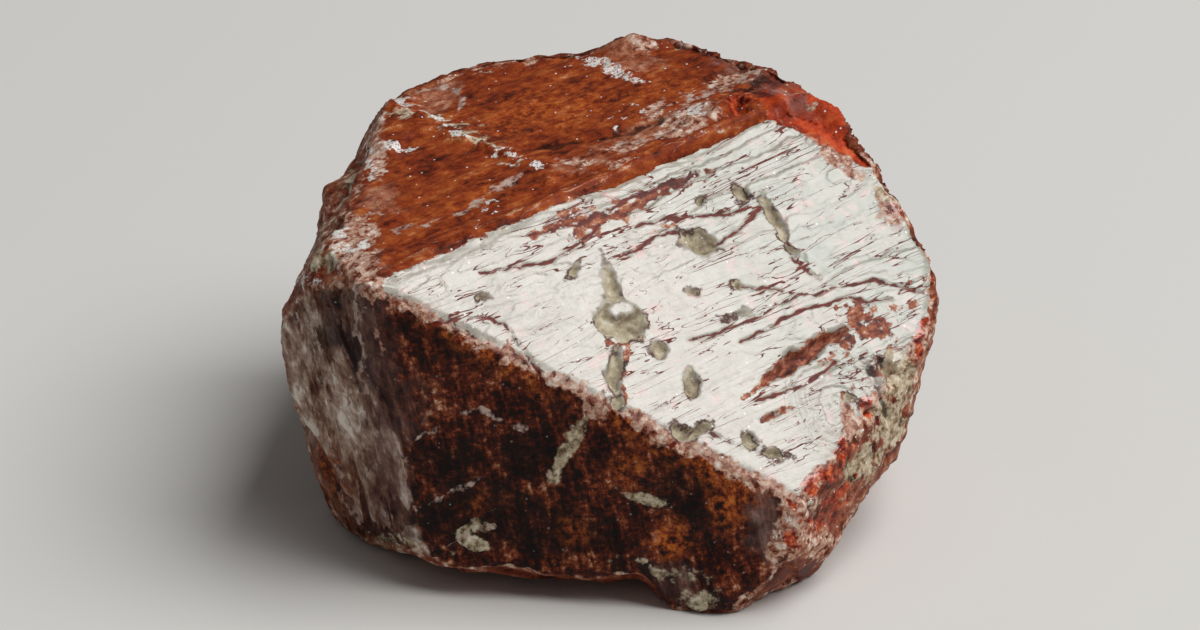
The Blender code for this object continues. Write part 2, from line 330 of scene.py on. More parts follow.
normals = vectors(mesh.vertex_normals, "vector")
towards = points[:, 2] * math.sin(SEEN_RISE) - points[:, 1] * math.cos(SEEN_RISE)
facing = normals[:, 2] * math.sin(SEEN_RISE) - normals[:, 1] * math.cos(SEEN_RISE)
nearness = SEEN_FROM / (SEEN_FROM - towards)
seen_x = np.where(facing > 0.0, points[:, 0] * nearness, HIDDEN)
seen_y = (points[:, 1] * math.sin(SEEN_RISE) + points[:, 2] * math.cos(SEEN_RISE)) * nearness
ORANGE_LEFT = 7.3
ORANGE_RIGHT = 12.7
ORANGE_RIM = ((7.0, 9.9), (7.6, 9.45), (8.7, 8.75), (10.5, 7.8), (12.2, 6.9), (13.0, 6.2))
rim_x, rim_y = zip(*ORANGE_RIM)
ragged_rim = 0.30 * noise_in(points, 0.9, 33.0) + 0.12 * noise_in(points, 3.0, 33.0)
orange = seen_y + ragged_rim - np.interp(seen_x, rim_x, rim_y)
orange = np.minimum(orange, np.minimum(seen_x - ORANGE_LEFT, ORANGE_RIGHT - seen_x) + ragged_rim)
print("share of points seen from the front", round(float((facing > 0.0).mean()), 2))

# %% [markdown]
# ## Which face each point is on
#
# A point that stands close under a growth face belongs to it. Where no growth face is near, the
# surface is a break. These shares say how much of each kind of relief, and later of each
# colour, a point takes.

# %% Regions
MAIN_FACES = ("bright", "top", "front", "left")
FACE_BELT = (-0.34, -0.12)
BREAK_BELT = (0.15, 1.3)
SWELL_BELT = (0.8, 3.5)

depths = {name: depth_in(points, plane) for name, plane in growth_planes.items()}
planes = {**growth_planes, **break_planes, "base": base_plane}
plane_names = list(planes)
all_depths = np.stack([depth_in(points, plane) for plane in planes.values()])
growth_depth = np.max(np.stack(list(depths.values())), axis=0)
order = np.argsort(all_depths, axis=0)
nearest, neighbour = order[-1], order[-2]
edge_depth = np.take_along_axis(all_depths, neighbour[None, :], axis=0)[0]
inside_edge = -edge_depth
broken = ramp(-growth_depth, *BREAK_BELT)
away_from_edge = ramp(-growth_depth, *SWELL_BELT)
on_face = {}
taken = np.zeros(len(points))
for name in MAIN_FACES:
    on_face[name] = ramp(depths[name], *FACE_BELT) * (1.0 - taken)
    taken = taken + on_face[name]
print("share of the points on the bright face", round(float(on_face["bright"].mean()), 2))

# %% [markdown]
# ## Marks of the bright face
#
# Ledges step down towards the upper edge, where the crystal grew in thin plates. Pits hold remains
# of the tan rock that the crystal grew in. One wedge-shaped gouge, smaller gouges and a shelly patch
# at the lower right show bare red stone, and fine cracks run across the face.

# %% Bright face
PITS = (
    (9.95, 6.25, 1.20, 1.00, 29.0),
    (10.50, 4.45, 0.95, 0.33, 104.0),
    (8.35, 8.25, 1.45, 0.36, 125.0),
    (7.65, 9.60, 0.55, 0.34, 100.0),
    (15.60, 4.45, 0.95, 0.62, 40.0),
    (19.65, 4.90, 1.15, 0.30, 92.0),
    (19.60, 6.50, 0.60, 0.16, 80.0),
    (18.85, 3.05, 0.55, 0.36, 70.0),
    (16.90, 2.65, 0.24, 0.20, 0.0),
    (10.80, 8.25, 0.42, 0.40, 0.0),
    (11.35, 10.36, 0.60, 0.38, 108.0),
    (9.55, 12.05, 0.50, 0.34, 50.0),
    (10.40, 12.35, 0.75, 0.30, -10.0),
    (16.03, 7.03, 0.26, 0.23, 0.0),
    (13.93, 6.44, 0.34, 0.26, 60.0),
    (15.38, 8.21, 0.52, 0.16, 10.0),
    (9.30, 3.29, 0.45, 0.17, -25.0),
    (12.35, 13.73, 0.42, 0.34, 60.0),
    (12.95, 14.75, 0.60, 0.24, 30.0),
    (17.90, 14.00, 0.22, 0.18, 0.0),
    (4.60, 2.70, 0.20, 0.14, 0.0),
)
PIT_DEPTH = 0.30
ISLAND = (10.25, 5.85, 0.58, 0.44, 20.0)
WEDGE = ((13.2, 11.75), (15.2, 11.5), (17.2, 11.15), (19.6, 10.9))
WEDGE_DEPTH = 0.6
GOUGES = (
    ((14.10, 13.12, 0.95, 0.28, 5.0), 0.32),
    ((13.60, 1.55, 2.60, 0.26, -2.0), 0.14),
    ((16.60, 1.42, 1.40, 0.20, -3.0), 0.12),
    ((9.60, 1.05, 1.50, 0.24, 2.0), 0.10),
    ((18.70, 15.60, 1.60, 0.50, 62.0), 0.60),
    ((20.60, 14.00, 1.50, 0.50, 70.0), 0.70),
)
CRACKS = (
    ((12.4, 8.4), (15.6, 8.7), (18.5, 8.6), (22.1, 9.4), (24.3, 10.9)),
    ((14.6, 9.5), (17.5, 9.3), (20.3, 9.6), (22.5, 10.6)),
    ((1.6, 2.9), (4.0, 3.4), (4.8, 4.3), (5.1, 7.3)),
    ((8.8, 12.4), (10.4, 12.3), (12.4, 14.3)),
    ((19.6, 6.1), (19.3, 7.2), (20.0, 8.2)),
    ((16.0, 7.0), (16.9, 7.6), (18.0, 8.0)),
    ((8.0, 0.9), (10.6, 1.4), (13.0, 1.2), (17.6, 1.3)),
    ((5.2, 1.6), (7.6, 2.3), (9.2, 2.4), (11.6, 1.9)),
    ((11.9, 3.6), (14.0, 3.3), (15.6, 3.9)),
    ((13.2, 2.5), (15.0, 2.9), (17.2, 3.6), (18.8, 3.9)),
    ((16.2, 4.9), (18.0, 4.6), (19.4, 4.1)),
    ((13.6, 12.2), (16.0, 12.5), (18.2, 12.2)),
)
LEDGES = (
    (0.55, 0.06, 3.0),
    (1.0, 0.10, 7.0),
    (1.7, 0.14, 11.0),
    (3.0, 0.09, 12.5),
    (5.1, 0.05, 11.0),
    (8.7, 0.10, 12.0),
    (12.6, 0.09, 16.5),
)
LEDGE_BLEND = 0.07
LEDGE_END = 1.5
SHELL_MIDDLE = (17.2, 13.9)
SHELL_HEIGHT = 0.08
PLATE_HEIGHT = 0.055
PIT_WALL = (-0.03, 0.20)
GOUGE_WALL = (-0.05, 0.40)
WEDGE_WALL = (-0.04, 0.35)
CRACK_DEPTH = 0.09
CRACK_REACH = 0.11
ORANGE_DEPTH = 0.16
ORANGE_WALL = (-0.06, 0.10)

bend = 0.20 * waves(bright_u, bright_v, 0.9, 0.9, 4.0)
bend_fine = 0.09 * waves(bright_u, bright_v, 3.1, 3.1, 9.0)
u = bright_u + bend + bend_fine
v = bright_v + 0.20 * waves(bright_u, bright_v, 0.9, 0.9, 14.0) - bend_fine
jag = 0.26 * waves(bright_u, bright_v, 1.6, 1.6, 17.0)
jag_across = 0.26 * waves(bright_u, bright_v, 1.6, 1.6, 27.0)
pit_inside = np.max([oval(u + 0.6 * jag, v + 0.6 * jag_across, shape) for shape in PITS], axis=0)
pit_inside = np.minimum(pit_inside, -oval(u, v, ISLAND))
pit_depth = PIT_DEPTH * ramp(pit_inside, *PIT_WALL)
jagged_u, jagged_v = u + 0.7 * jag, v + 0.7 * jag_across
gouge_inside = np.max([oval(jagged_u, jagged_v, shape) for shape, _ in GOUGES], axis=0)
gouge_depth = [depth * ramp(oval(jagged_u, jagged_v, shape), *GOUGE_WALL) for shape, depth in GOUGES]
wedge_width = 0.03 + 0.45 * ramp(u, 13.0, 17.4) * (1.0 - 0.6 * ramp(u, 17.8, 20.0))
wedge_inside = wedge_width - line(jagged_u, jagged_v, WEDGE)
gouge_inside = np.maximum(gouge_inside, wedge_inside)
gouge_depth = np.max([*gouge_depth, WEDGE_DEPTH * ramp(wedge_inside, *WEDGE_WALL)], axis=0)
crack_away = np.min([line(u, v, corners) for corners in CRACKS], axis=0)

wander = 0.45 * waves(u, v, 0.25, 0.4, 3.0)
ledge_height = np.zeros(len(points))
for place, step, start in LEDGES:
    lower = 1.0 - ramp(v + wander, place - LEDGE_BLEND, place + LEDGE_BLEND)
    ledge_height -= step * lower * ramp(u, start, start + LEDGE_END)
plates = waves(u, v, 0.22, 1.25, 21.0) * 3.2
plate_steps = np.round(plates) - plates
upper = 1.0 - ramp(v, 3.5, 7.5)
right = ramp(u, 13.0, 20.0)
plate_share = 0.25 + 0.75 * np.maximum(upper, 0.7 * right)
shell_radius = np.hypot(u - SHELL_MIDDLE[0], v - SHELL_MIDDLE[1])
shell_share = (1.0 - ramp(shell_radius, 2.2, 4.0)) * ramp(u, 13.5, 15.5)
shell_waves = shell_radius * 1.7 + 0.9 * waves(u, v, 0.5, 0.5, 31.0)
shell_steps = np.round(shell_waves) - shell_waves
bright_height = ledge_height + PLATE_HEIGHT * plate_steps * plate_share
bright_height += SHELL_HEIGHT * shell_steps * shell_share
bright_height += 0.05 * waves(u, v, 0.35, 1.1, 8.0)
bright_height -= pit_depth + gouge_depth + CRACK_DEPTH * (1.0 - ramp(crack_away, 0.0, CRACK_REACH))
bright_height += 0.07 * noise_in(points, 3.4) * ramp(pit_inside, 0.0, 0.2)
bright_height += 0.12 * noise_in(points, 2.2) * ramp(gouge_inside, 0.0, 0.3)
bright_height -= ORANGE_DEPTH * ramp(orange, *ORANGE_WALL)
print("deepest mark of the bright face in mm", round(float(pit_depth.max()), 2))

# %% [markdown]
# ## Ledges of the top, and the quieter front and left faces
#
# The top is striped by growth steps along its edge. One crooked step crosses it and glitters, and
# a pinkish knob with a small cavity sits by the right end of the edge. The front is the calmest
# face, only gently waved, and the left one splits into upright slivers. Furrows of several faces and
# three red lines of the bright face are set out here too, because they also have seen places.

# %% Other faces
TOP_LEDGES = ((0.9, -0.14, -1.0, 30.0), (2.3, -0.22, 12.5, 30.0), (12.5, 0.30, 8.0, 13.0))
SEEN_STEP = ((-10.6, 9.4), (-9.7, 9.4), (-8.0, 9.1), (-6.6, 8.3), (-5.3, 7.7), (-4.0, 7.3), (-2.9, 6.8),
             (-2.2, 6.1))
SEEN_STREAK = ((-0.6, 11.9), (0.3, 11.6), (1.5, 11.1))
# The furrows are cut into the relief and later painted dark, as painted shadow under their ledges
SEEN_FURROWS = (
    ((-3.6, 7.8), (-1.5, 8.0), (0.6, 8.5), (2.7, 9.2)),
    ((5.2, 9.8), (5.9, 10.2), (7.6, 11.0)),
    ((12.2, -2.2), (12.7, -3.4), (12.9, -4.6)),
    ((9.3, -8.3), (9.9, -9.6)),
    ((-11.9, 0.9), (-11.4, -1.4), (-10.9, -3.6)),
)
SEEN_RED = (
    ((1.25, -1.2), (1.15, -2.7), (1.0, -3.9)),
    ((0.5, -1.25), (1.1, -1.35), (1.7, -1.0)),
    ((-4.3, -1.4), (-3.8, -1.9), (-3.3, -2.5), (-2.7, -3.2)),
)
SEEN_KNOB = (4.5, 9.2, 1.25, 0.6, 8.0)
SEEN_CAVITY = (6.2, 9.5, 0.5, 0.35, 20.0)
SEEN_LENS = (-7.5, 10.2, 1.1, 0.8, 30.0)
TOP_LEDGE_BLEND = 0.08
TOP_LEDGE_END = 1.5
STRIPE_HEIGHT = 0.07
STEP_RISE = 0.16
STREAK_RISE = 0.12
KNOB_RISE = 0.22
CAVITY_DEPTH = 0.60
LENS_DEPTH = 0.12
FRONT_LINE_DEPTH = 0.03
FRONT_LINE_REACH = 0.18
SLIVER_HEIGHT = 0.20
SHARD_HEIGHT = 0.22
FRONT_VEINS = (
    ((11.35, 3.00, 1.75, 0.34, 88.0), 0.06),
    ((15.50, 3.20, 1.15, 0.25, -14.0), 0.04),
    ((10.10, 9.60, 0.95, 0.70, 30.0), 0.10),
    ((19.90, 6.70, 0.50, 0.42, 0.0), 0.08),
)
FRONT_LINES = (
    ((4.6, 5.6), (6.7, 3.3), (8.2, 2.7), (9.3, 2.9)),
    ((8.7, 8.4), (9.3, 7.2), (9.8, 6.6)),
    ((15.3, 3.4), (16.4, 4.6), (17.2, 5.8)),
    ((3.2, 3.4), (5.5, 4.8), (7.0, 7.4)),
)

top_wander = 0.6 * waves(top_u, top_v, 0.2, 0.3, 1.0)
top_ragged = 0.45 * waves(top_u, top_v, 0.9, 1.4, 71.0)
top_height = 0.12 * waves(top_u, top_v, 0.3, 0.9, 12.0)
for place, step, start, end in TOP_LEDGES:
    along_share = ramp(top_u, start, start + TOP_LEDGE_END) * (1.0 - ramp(top_u, end - TOP_LEDGE_END, end))
    across_share = ramp(top_v + top_wander + top_ragged, place - TOP_LEDGE_BLEND, place + TOP_LEDGE_BLEND)
    top_height += step * across_share * along_share
stripes = waves(top_u, top_v, 0.10, 1.5, 41.0) * 3.4
top_height += STRIPE_HEIGHT * (np.round(stripes) - stripes) + 0.03 * waves(top_u, top_v, 0.5, 4.0, 2.0)
bent_x = seen_x + 0.30 * waves(seen_x, seen_y, 0.9, 0.9, 5.0)
bent_y = seen_y + 0.22 * waves(seen_x, seen_y, 0.9, 0.9, 6.0)
step_away = line(bent_x, bent_y, SEEN_STEP)
red_away = np.min([line(bent_x, bent_y, corners) for corners in SEEN_RED], axis=0)
furrow_away = np.min([line(bent_x, bent_y, corners) for corners in SEEN_FURROWS], axis=0)
streak_away = line(bent_x, bent_y, SEEN_STREAK)
knob_inside = oval(bent_x, bent_y, SEEN_KNOB)
cavity_inside = oval(bent_x, bent_y, SEEN_CAVITY)
lens_inside = oval(bent_x, bent_y, SEEN_LENS)
top_height += (STEP_RISE + 0.35 * noise_in(points, 1.9)) * (1.0 - ramp(step_away, 0.05, 0.32))
top_height += (STREAK_RISE + 0.30 * noise_in(points, 1.7)) * (1.0 - ramp(streak_away, 0.05, 0.30))
top_height += (KNOB_RISE + 0.30 * noise_in(points, 1.4)) * ramp(knob_inside, -0.15, 0.3)
top_height -= CAVITY_DEPTH * ramp(cavity_inside, -0.1, 0.2) + LENS_DEPTH * ramp(lens_inside, -0.1, 0.3)
top_height += 0.10 * noise_in(points, 1.3) * ramp(-inside_edge, -1.6, -0.2)

front_height = 0.16 * noise_in(points, 0.45) + 0.025 * noise_in(points, 1.6)
front_bent_u = front_u + 0.25 * waves(front_u, front_v, 0.9, 0.9, 7.0)
front_bent_v = front_v + 0.25 * waves(front_u, front_v, 0.9, 0.9, 8.0)
vein_inside = np.max([oval(front_bent_u, front_bent_v, shape) for shape, _ in FRONT_VEINS], axis=0)
for shape, height in FRONT_VEINS:
    front_height += height * ramp(oval(front_bent_u, front_bent_v, shape), -0.05, 0.12)
front_line_away = np.min([line(front_bent_u, front_bent_v, corners) for corners in FRONT_LINES], axis=0)
front_height -= FRONT_LINE_DEPTH * (1.0 - ramp(front_line_away, 0.0, FRONT_LINE_REACH))

slivers = waves(left_u, left_v, 0.12, 0.9, 51.0) * 2.6
left_height = SLIVER_HEIGHT * (np.round(slivers) - slivers) + 0.16 * noise_in(points, 0.45)
left_height += 0.06 * waves(left_u, left_v, 0.5, 2.4, 3.0)
shard, _ = cells_in(np.stack([left_u * 0.35, left_v, np.zeros(len(points))], axis=1), 0.55)
left_height += SHARD_HEIGHT * (0.5 - shard)
print("top relief from", round(float(top_height.min()), 2), "to", round(float(top_height.max()), 2), "mm")

# %% [markdown]
# ## Breaks, lumps and worn edges
#
# Zircon breaks in shallow shells, so the broken sides take broad swells, cell-shaped scallops and
# small sharp crumbs. Knobs and hollows that show in the outline are listed one by one. Along every
# edge a little stone is rubbed or chipped off.

# %% Breaks and lumps
LUMPS = (
    ((-13.2, -0.8, 3.6), 2.6, 0.55),
    ((-12.4, 1.4, 2.8), 1.6, -0.55),
    ((-12.6, 10.8, 1.0), 2.8, 0.70),
    ((-12.9, 5.8, 3.2), 1.8, -0.90),
    ((1.6, 18.6, 5.6), 2.6, 1.10),
    ((10.6, 7.2, 7.4), 2.4, 0.50),
    ((13.2, 6.4, 5.0), 1.8, 0.45),
    ((5.6, 8.2, 7.2), 2.0, 0.45),
    ((7.9, 7.0, 7.4), 1.0, -0.60),
    ((13.9, -2.6, -0.4), 1.7, -0.90),
    ((14.0, 4.4, 3.6), 1.6, 0.40),
    ((8.5, 12.2, 6.4), 2.4, 0.45),
    ((5.6, -8.3, -9.6), 2.6, 0.35),
    ((-10.4, 18.6, 0.6), 3.4, -1.00),
    ((5.2, 17.6, 0.4), 3.6, -1.10),
    ((5.0, 17.4, -7.0), 2.6, -0.70),
    ((13.2, 7.6, -7.6), 2.8, -0.80),
    ((-13.8, 2.6, -6.2), 2.4, -0.60),
    ((-12.0, 14.0, 0.4), 2.6, -0.70),
    ((9.4, 11.4, 4.6), 2.6, -0.70),
    ((-3.4, 13.2, -6.4), 3.4, 0.60),
)
BASE_SPARE = 0.3
SWELL_HEIGHT = 0.75
SCALLOP_HEIGHT = 0.55
SCALLOP_LEVEL = 0.6
CHIP_HEIGHT = 0.28
CRUMB_HEIGHT = 0.24
WEAR_REACH = 0.5
BACK_PIT_DEPTH = 0.30
BACK_PIT_WALL = (0.38, 0.56)
FURROW_DEPTH = 0.14
FURROW_REACH = 0.25
UNDERSIDE_INSET = 0.9

scallop, _ = cells_in(points, 0.27)
crumb, _ = cells_in(points, 1.25)
rough = SWELL_HEIGHT * noise_in(points, 0.17) + SCALLOP_HEIGHT * (SCALLOP_LEVEL - scallop)
rough = rough + CHIP_HEIGHT * noise_in(points, 0.75)
crumbs = CRUMB_HEIGHT * (0.5 - crumb) + 0.12 * noise_in(points, 2.3)
wear = 0.10 + 0.26 * np.maximum(noise_in(points, 0.55), 0.0) + 0.10 * noise_in(points, 1.8)
wear = np.maximum(wear, 0.0) * ramp(edge_depth, -WEAR_REACH, 0.0)
height = broken * np.minimum(rough, 0.0) + away_from_edge * np.maximum(rough, 0.0) + broken * crumbs - wear
plain = 1.0 - np.clip(broken + taken, 0.0, 1.0)
plain = plain * (points[:, 2] > BASE_LEVEL + 0.4)
back_steps = waves(top_u, top_v + points[:, 2], 0.16, 0.8, 81.0) * 3.0
back_clusters = 0.55 * noise_in(points, 0.19, 23.0) + 0.30 * noise_in(points, 0.37, 29.0)
back_pits = ramp(noise_in(points, 0.62, 17.0) + back_clusters, *BACK_PIT_WALL)
back_height = 0.16 * noise_in(points, 0.45) + 0.16 * (np.round(back_steps) - back_steps)
height += plain * (back_height - BACK_PIT_DEPTH * back_pits)
height -= FURROW_DEPTH * (1.0 - ramp(furrow_away, 0.0, FURROW_REACH))
height += on_face["bright"] * bright_height + on_face["top"] * top_height
height += on_face["front"] * front_height + on_face["left"] * left_height
lump_noise = 1.0 + 0.5 * noise_in(points, 0.9)
for middle, radius, rise in LUMPS:
    away = np.linalg.norm(points - np.array(middle), axis=1) / radius
    height += rise * (1.0 - ramp(away, 0.0, 1.0)) * lump_noise
underside = (points[:, 2] < BASE_LEVEL + 0.05) & (edge_depth < -UNDERSIDE_INSET)
height = np.where(underside, BASE_SPARE, height)
print("relief from", round(float(height.min()), 2), "to", round(float(height.max()), 2), "mm")

# %% [markdown]
# ## Moving the points
#
# Each point moves along its own normal by its height. Then the front of the underside, left of
# the lobe that the stone stands on, is raised into an undercut, and the rest is pressed
# flat at the level of the base, so that the stone rests as its solid does.

# %% Move the points
UNDERCUT_RISE = 1.5
UNDERCUT_SLOPE = 0.36
LOBE_LEFT = 1.6
LOBE_BLEND = 1.6
SQUEEZE_HEIGHT = 4.0

moved = points + normals * height[:, None]
behind = np.maximum(-depth_in(moved, growth_planes["front"]), 0.0)
lift = np.maximum(UNDERCUT_RISE + 0.3 * noise_in(moved, 0.5) - UNDERCUT_SLOPE * behind, 0.0)
left_of_lobe = 1.0 - ramp(moved[:, 0] + 0.5 * noise_in(moved, 0.4), LOBE_LEFT, LOBE_LEFT + LOBE_BLEND)
near_base = 1.0 - ramp(moved[:, 2], BASE_LEVEL, BASE_LEVEL + SQUEEZE_HEIGHT)
moved[:, 2] += lift * left_of_lobe * near_base
moved[:, 2] = np.maximum(moved[:, 2], BASE_LEVEL)
mesh.vertices.foreach_set("co", ((moved - np.array(BASE_MIDDLE)) * MM).astype(np.float32).ravel())
mesh.update()
print("triangles", sum(len(face.vertices) - 2 for face in mesh.polygons))

# %% [markdown]
# ## Where each colour lies
#
# The stone is one material through and through, but its surface shows many: a pale painted sheen
# on the bright face, which paints the reflection of the light, bare red-brown crystal, tan rock in
# the pits, pink crumbs on worn edges. Each gets an attribute that says how far inside its patch a
# point is, in mm, with less than 0 outside. Such distances blend evenly between points, so the
# shader can draw a much sharper border than the net of points has.

# %% Faces and edges
def inside_face(name):
    """How far inside a face each point is, measured from the face's nearest edge."""
    number = plane_names.index(name)
    others = np.delete(all_depths, number, axis=0)
    return all_depths[number] - np.max(others, axis=0)


inside = {name: inside_face(name) for name in MAIN_FACES}

EDGE_WIDTH = 0.10
CORNER_WORN = 1.1
EDGE_WIDTHS = {
    ("bright", "front"): 0.30,
    ("bright", "top"): -0.25,
    ("front", "left"): -0.10,
    ("top", "left"): 0.30,
    ("top", "upper_left"): 0.60,
    ("top", "upper_back"): 0.50,
    ("top", "knob"): 0.60,
    ("bright", "tip"): 0.40,
    ("front", "tip"): 0.45,
    ("bright", "right_low"): 0.20,
    ("bright", "right_top"): 0.15,
    ("bright", "orange"): 0.45,
    ("front", "base"): 0.10,
    ("front", "lobe_low"): 0.20,
    ("front", "left_bottom"): 0.30,
    ("left", "left_low"): 0.15,
    ("left", "left_rim"): 0.15,
}
width_table = np.full((len(planes), len(planes)), EDGE_WIDTH)
for (one, other), width in EDGE_WIDTHS.items():
    first, second = plane_names.index(one), plane_names.index(other)
    width_table[first, second] = width_table[second, first] = width
edge_width = width_table[nearest, neighbour]
patchy = noise_in(points, 0.7, 5.0)
edge_width = edge_width + 0.26 * patchy + 0.10 * noise_in(points, 2.1)
corner_away = np.linalg.norm(points - LEFT_CORNER, axis=1)
edge_width = np.maximum(edge_width, CORNER_WORN - corner_away + 0.5 * patchy)
print("edges named:", len(EDGE_WIDTHS))

# %% [markdown]
# Ovals and lines in seen places give the patches that belong to no one face: tan rock and red
# stone along the broken right rim, the crumbs and glints of the left knob, pale scratches.

# %% Patches
SEEN_TAN = (
    (13.7, -2.9, 0.9, 1.2, 10.0),
    (13.2, -4.9, 0.9, 1.0, 0.0),
    (11.9, -6.8, 1.3, 0.55, 50.0),
    (13.4, 5.5, 0.6, 0.35, -30.0),
    (-12.8, 2.6, 0.55, 0.75, 20.0),
    (-7.6, 9.0, 1.2, 0.22, -14.0),
    (-5.6, 8.1, 0.9, 0.20, -30.0),
    (4.6, -12.7, 0.6, 0.35, 10.0),
    (-6.0, -10.3, 0.35, 0.9, -25.0),
    (-9.2, -10.9, 1.0, 0.20, -20.0),
    (-2.4, 12.3, 0.6, 0.25, 0.0),
    (2.6, -11.9, 1.0, 0.15, 0.0),
    (-15.6, 7.1, 0.4, 0.3, 0.0),
)
SEEN_PINK = (
    (4.3, 9.1, 1.30, 0.70, 8.0),
    (-10.1, 7.3, 0.4, 0.95, 10.0),
    (-10.9, 3.9, 1.0, 0.7, 0.0),
    (-12.0, 4.2, 0.6, 0.9, 20.0),
    (1.8, 12.6, 0.9, 0.35, -10.0),
    (-4.4, 12.1, 0.6, 0.3, 0.0),
    (10.4, 7.6, 2.0, 0.30, -40.0),
    (13.3, 5.0, 0.7, 0.8, -30.0),
    (9.0, -9.2, 1.3, 0.9, 40.0),
    (8.2, -10.4, 0.6, 1.0, 0.0),
    (5.9, 10.9, 2.0, 0.20, 19.0),
    (2.4, 9.6, 0.7, 0.25, 15.0),
    (-1.1, 7.2, 0.7, 0.25, 0.0),
    (0.6, 6.9, 0.6, 0.18, 25.0),
    (-5.6, 5.2, 0.3, 0.14, 0.0),
    (-11.9, 7.2, 0.7, 1.2, -10.0),
    (11.3, -4.8, 0.5, 0.9, 20.0),
    (-0.2, -4.2, 0.6, 0.5, 0.0),
    (1.5, 8.1, 0.8, 0.22, 15.0),
    (3.1, 8.5, 0.9, 0.30, 12.0),
    (9.9, -10.4, 0.7, 0.6, 45.0),
)
SEEN_GEM = (
    (11.1, -6.1, 0.55, 0.30, 40.0),
    (10.4, -7.1, 0.6, 0.35, 40.0),
    (9.7, -7.8, 0.5, 0.32, 40.0),
    (10.7, -8.6, 0.9, 0.28, 50.0),
    (13.5, 4.7, 0.25, 0.22, 0.0),
    (14.6, -1.2, 0.18, 0.9, 0.0),
    (8.6, -10.0, 0.3, 0.4, 0.0),
    (9.6, -9.4, 0.35, 0.25, 0.0),
    (8.9, -8.8, 0.22, 0.3, 0.0),
    (6.2, 9.9, 0.7, 0.35, 20.0),
    (12.3, -4.2, 0.2, 0.5, 20.0),
)
# Painted sheen and shade: these greyish-purple patches paint the glassy sheen and shading of facets
SEEN_FACET_SHEEN = (
    (-10.0, -2.5, 0.9, 5.5, 5.0),
    (-9.6, -7.5, 0.7, 3.6, 3.0),
    (-8.6, -4.8, 0.5, 1.6, -20.0),
    (7.8, -9.5, 0.9, 1.5, 0.0),
    (7.6, 11.0, 2.4, 0.7, -24.0),
    (3.4, -12.3, 1.6, 0.8, -10.0),
    (-12.6, 8.3, 0.9, 1.6, -20.0),
)
SEEN_SHADE = (
    (-5.6, -9.6, 2.9, 1.9, 5.0),
    (-1.8, -10.4, 3.3, 1.3, 0.0),
    (-6.9, -6.6, 1.6, 1.1, 0.0),
    (-3.2, -6.6, 1.6, 1.0, -20.0),
    (3.4, -8.2, 1.3, 0.9, -30.0),
    (-12.4, -0.9, 0.5, 0.9, 0.0),
    (-10.9, 0.3, 0.4, 1.2, 0.0),
)
SEEN_BLUSH = (
    (-7.5, 10.2, 1.1, 0.8, 30.0),
    (2.6, 8.9, 2.2, 0.5, 20.0),
    (-0.8, 7.2, 1.2, 0.4, 20.0),
    (1.2, 12.0, 1.5, 0.5, -15.0),
    (-10.0, 5.4, 0.9, 0.7, 0.0),
)
SEEN_GLINTS = (
    (-13.4, 1.6, 0.45, 0.25, 0.0),
    (-11.8, 3.7, 0.25, 0.3, 0.0),
    (-11.3, 3.0, 0.3, 0.2, 0.0),
    (-10.7, 3.3, 0.22, 0.16, 0.0),
    (-9.3, 9.8, 0.45, 0.25, 0.0),
    (-8.1, 9.25, 0.30, 0.25, 20.0),
    (-6.5, 8.35, 0.30, 0.16, -20.0),
    (-7.3, 9.0, 0.20, 0.12, -20.0),
    (-3.0, 6.95, 0.35, 0.16, -25.0),
    (-4.3, 7.4, 0.22, 0.10, -20.0),
    (-0.45, 11.75, 0.42, 0.26, -18.0),
    (0.45, 11.45, 0.36, 0.20, -18.0),
    (1.15, 11.2, 0.30, 0.14, -18.0),
    (-13.0, 7.4, 0.35, 0.7, 10.0),
    (-10.5, 7.0, 0.12, 0.3, 0.0),
    (-9.3, 7.6, 0.25, 0.12, 0.0),
    (1.1, 9.35, 0.40, 0.16, 20.0),
    (-5.0, 5.0, 0.2, 0.15, 0.0),
    (8.7, -9.0, 0.16, 0.12, 0.0),
    (9.6, -8.5, 0.14, 0.10, 0.0),
    (8.0, -10.0, 0.12, 0.16, 0.0),
    (4.1, 9.4, 0.30, 0.14, 10.0),
)
SEEN_PALE = (
    ((-9.4, 3.9), (-7.9, 4.2), (-6.0, 5.1), (-3.6, 6.5)),
    ((-8.5, -5.8), (-7.2, -4.9), (-5.6, -4.15), (-4.5, -4.7), (-3.3, -5.2)),
    ((-7.8, -8.5), (-6.6, -8.0), (-5.6, -7.5)),
    ((-7.1, -11.4), (-6.3, -10.3), (-5.9, -9.9), (-4.9, -9.6)),
    ((-2.2, -7.1), (-3.0, -8.0)),
    ((-8.7, 9.2), (-8.4, 10.6), (-7.2, 10.9), (-6.2, 10.2), (-6.3, 9.2)),
    ((3.9, 10.1), (5.6, 10.7), (7.5, 11.4)),
    ((-13.7, 0.2), (-13.2, -1.6), (-12.5, -3.4), (-12.0, -5.2), (-11.5, -6.6)),
    ((-13.0, -0.2), (-12.4, -2.4), (-11.7, -4.6)),
    ((-12.4, -5.6), (-11.6, -8.0), (-10.9, -9.6)),
    ((-11.0, 1.4), (-10.9, -1.0), (-10.6, -3.4)),
    ((0.8, 8.1), (3.2, 8.5)),
)
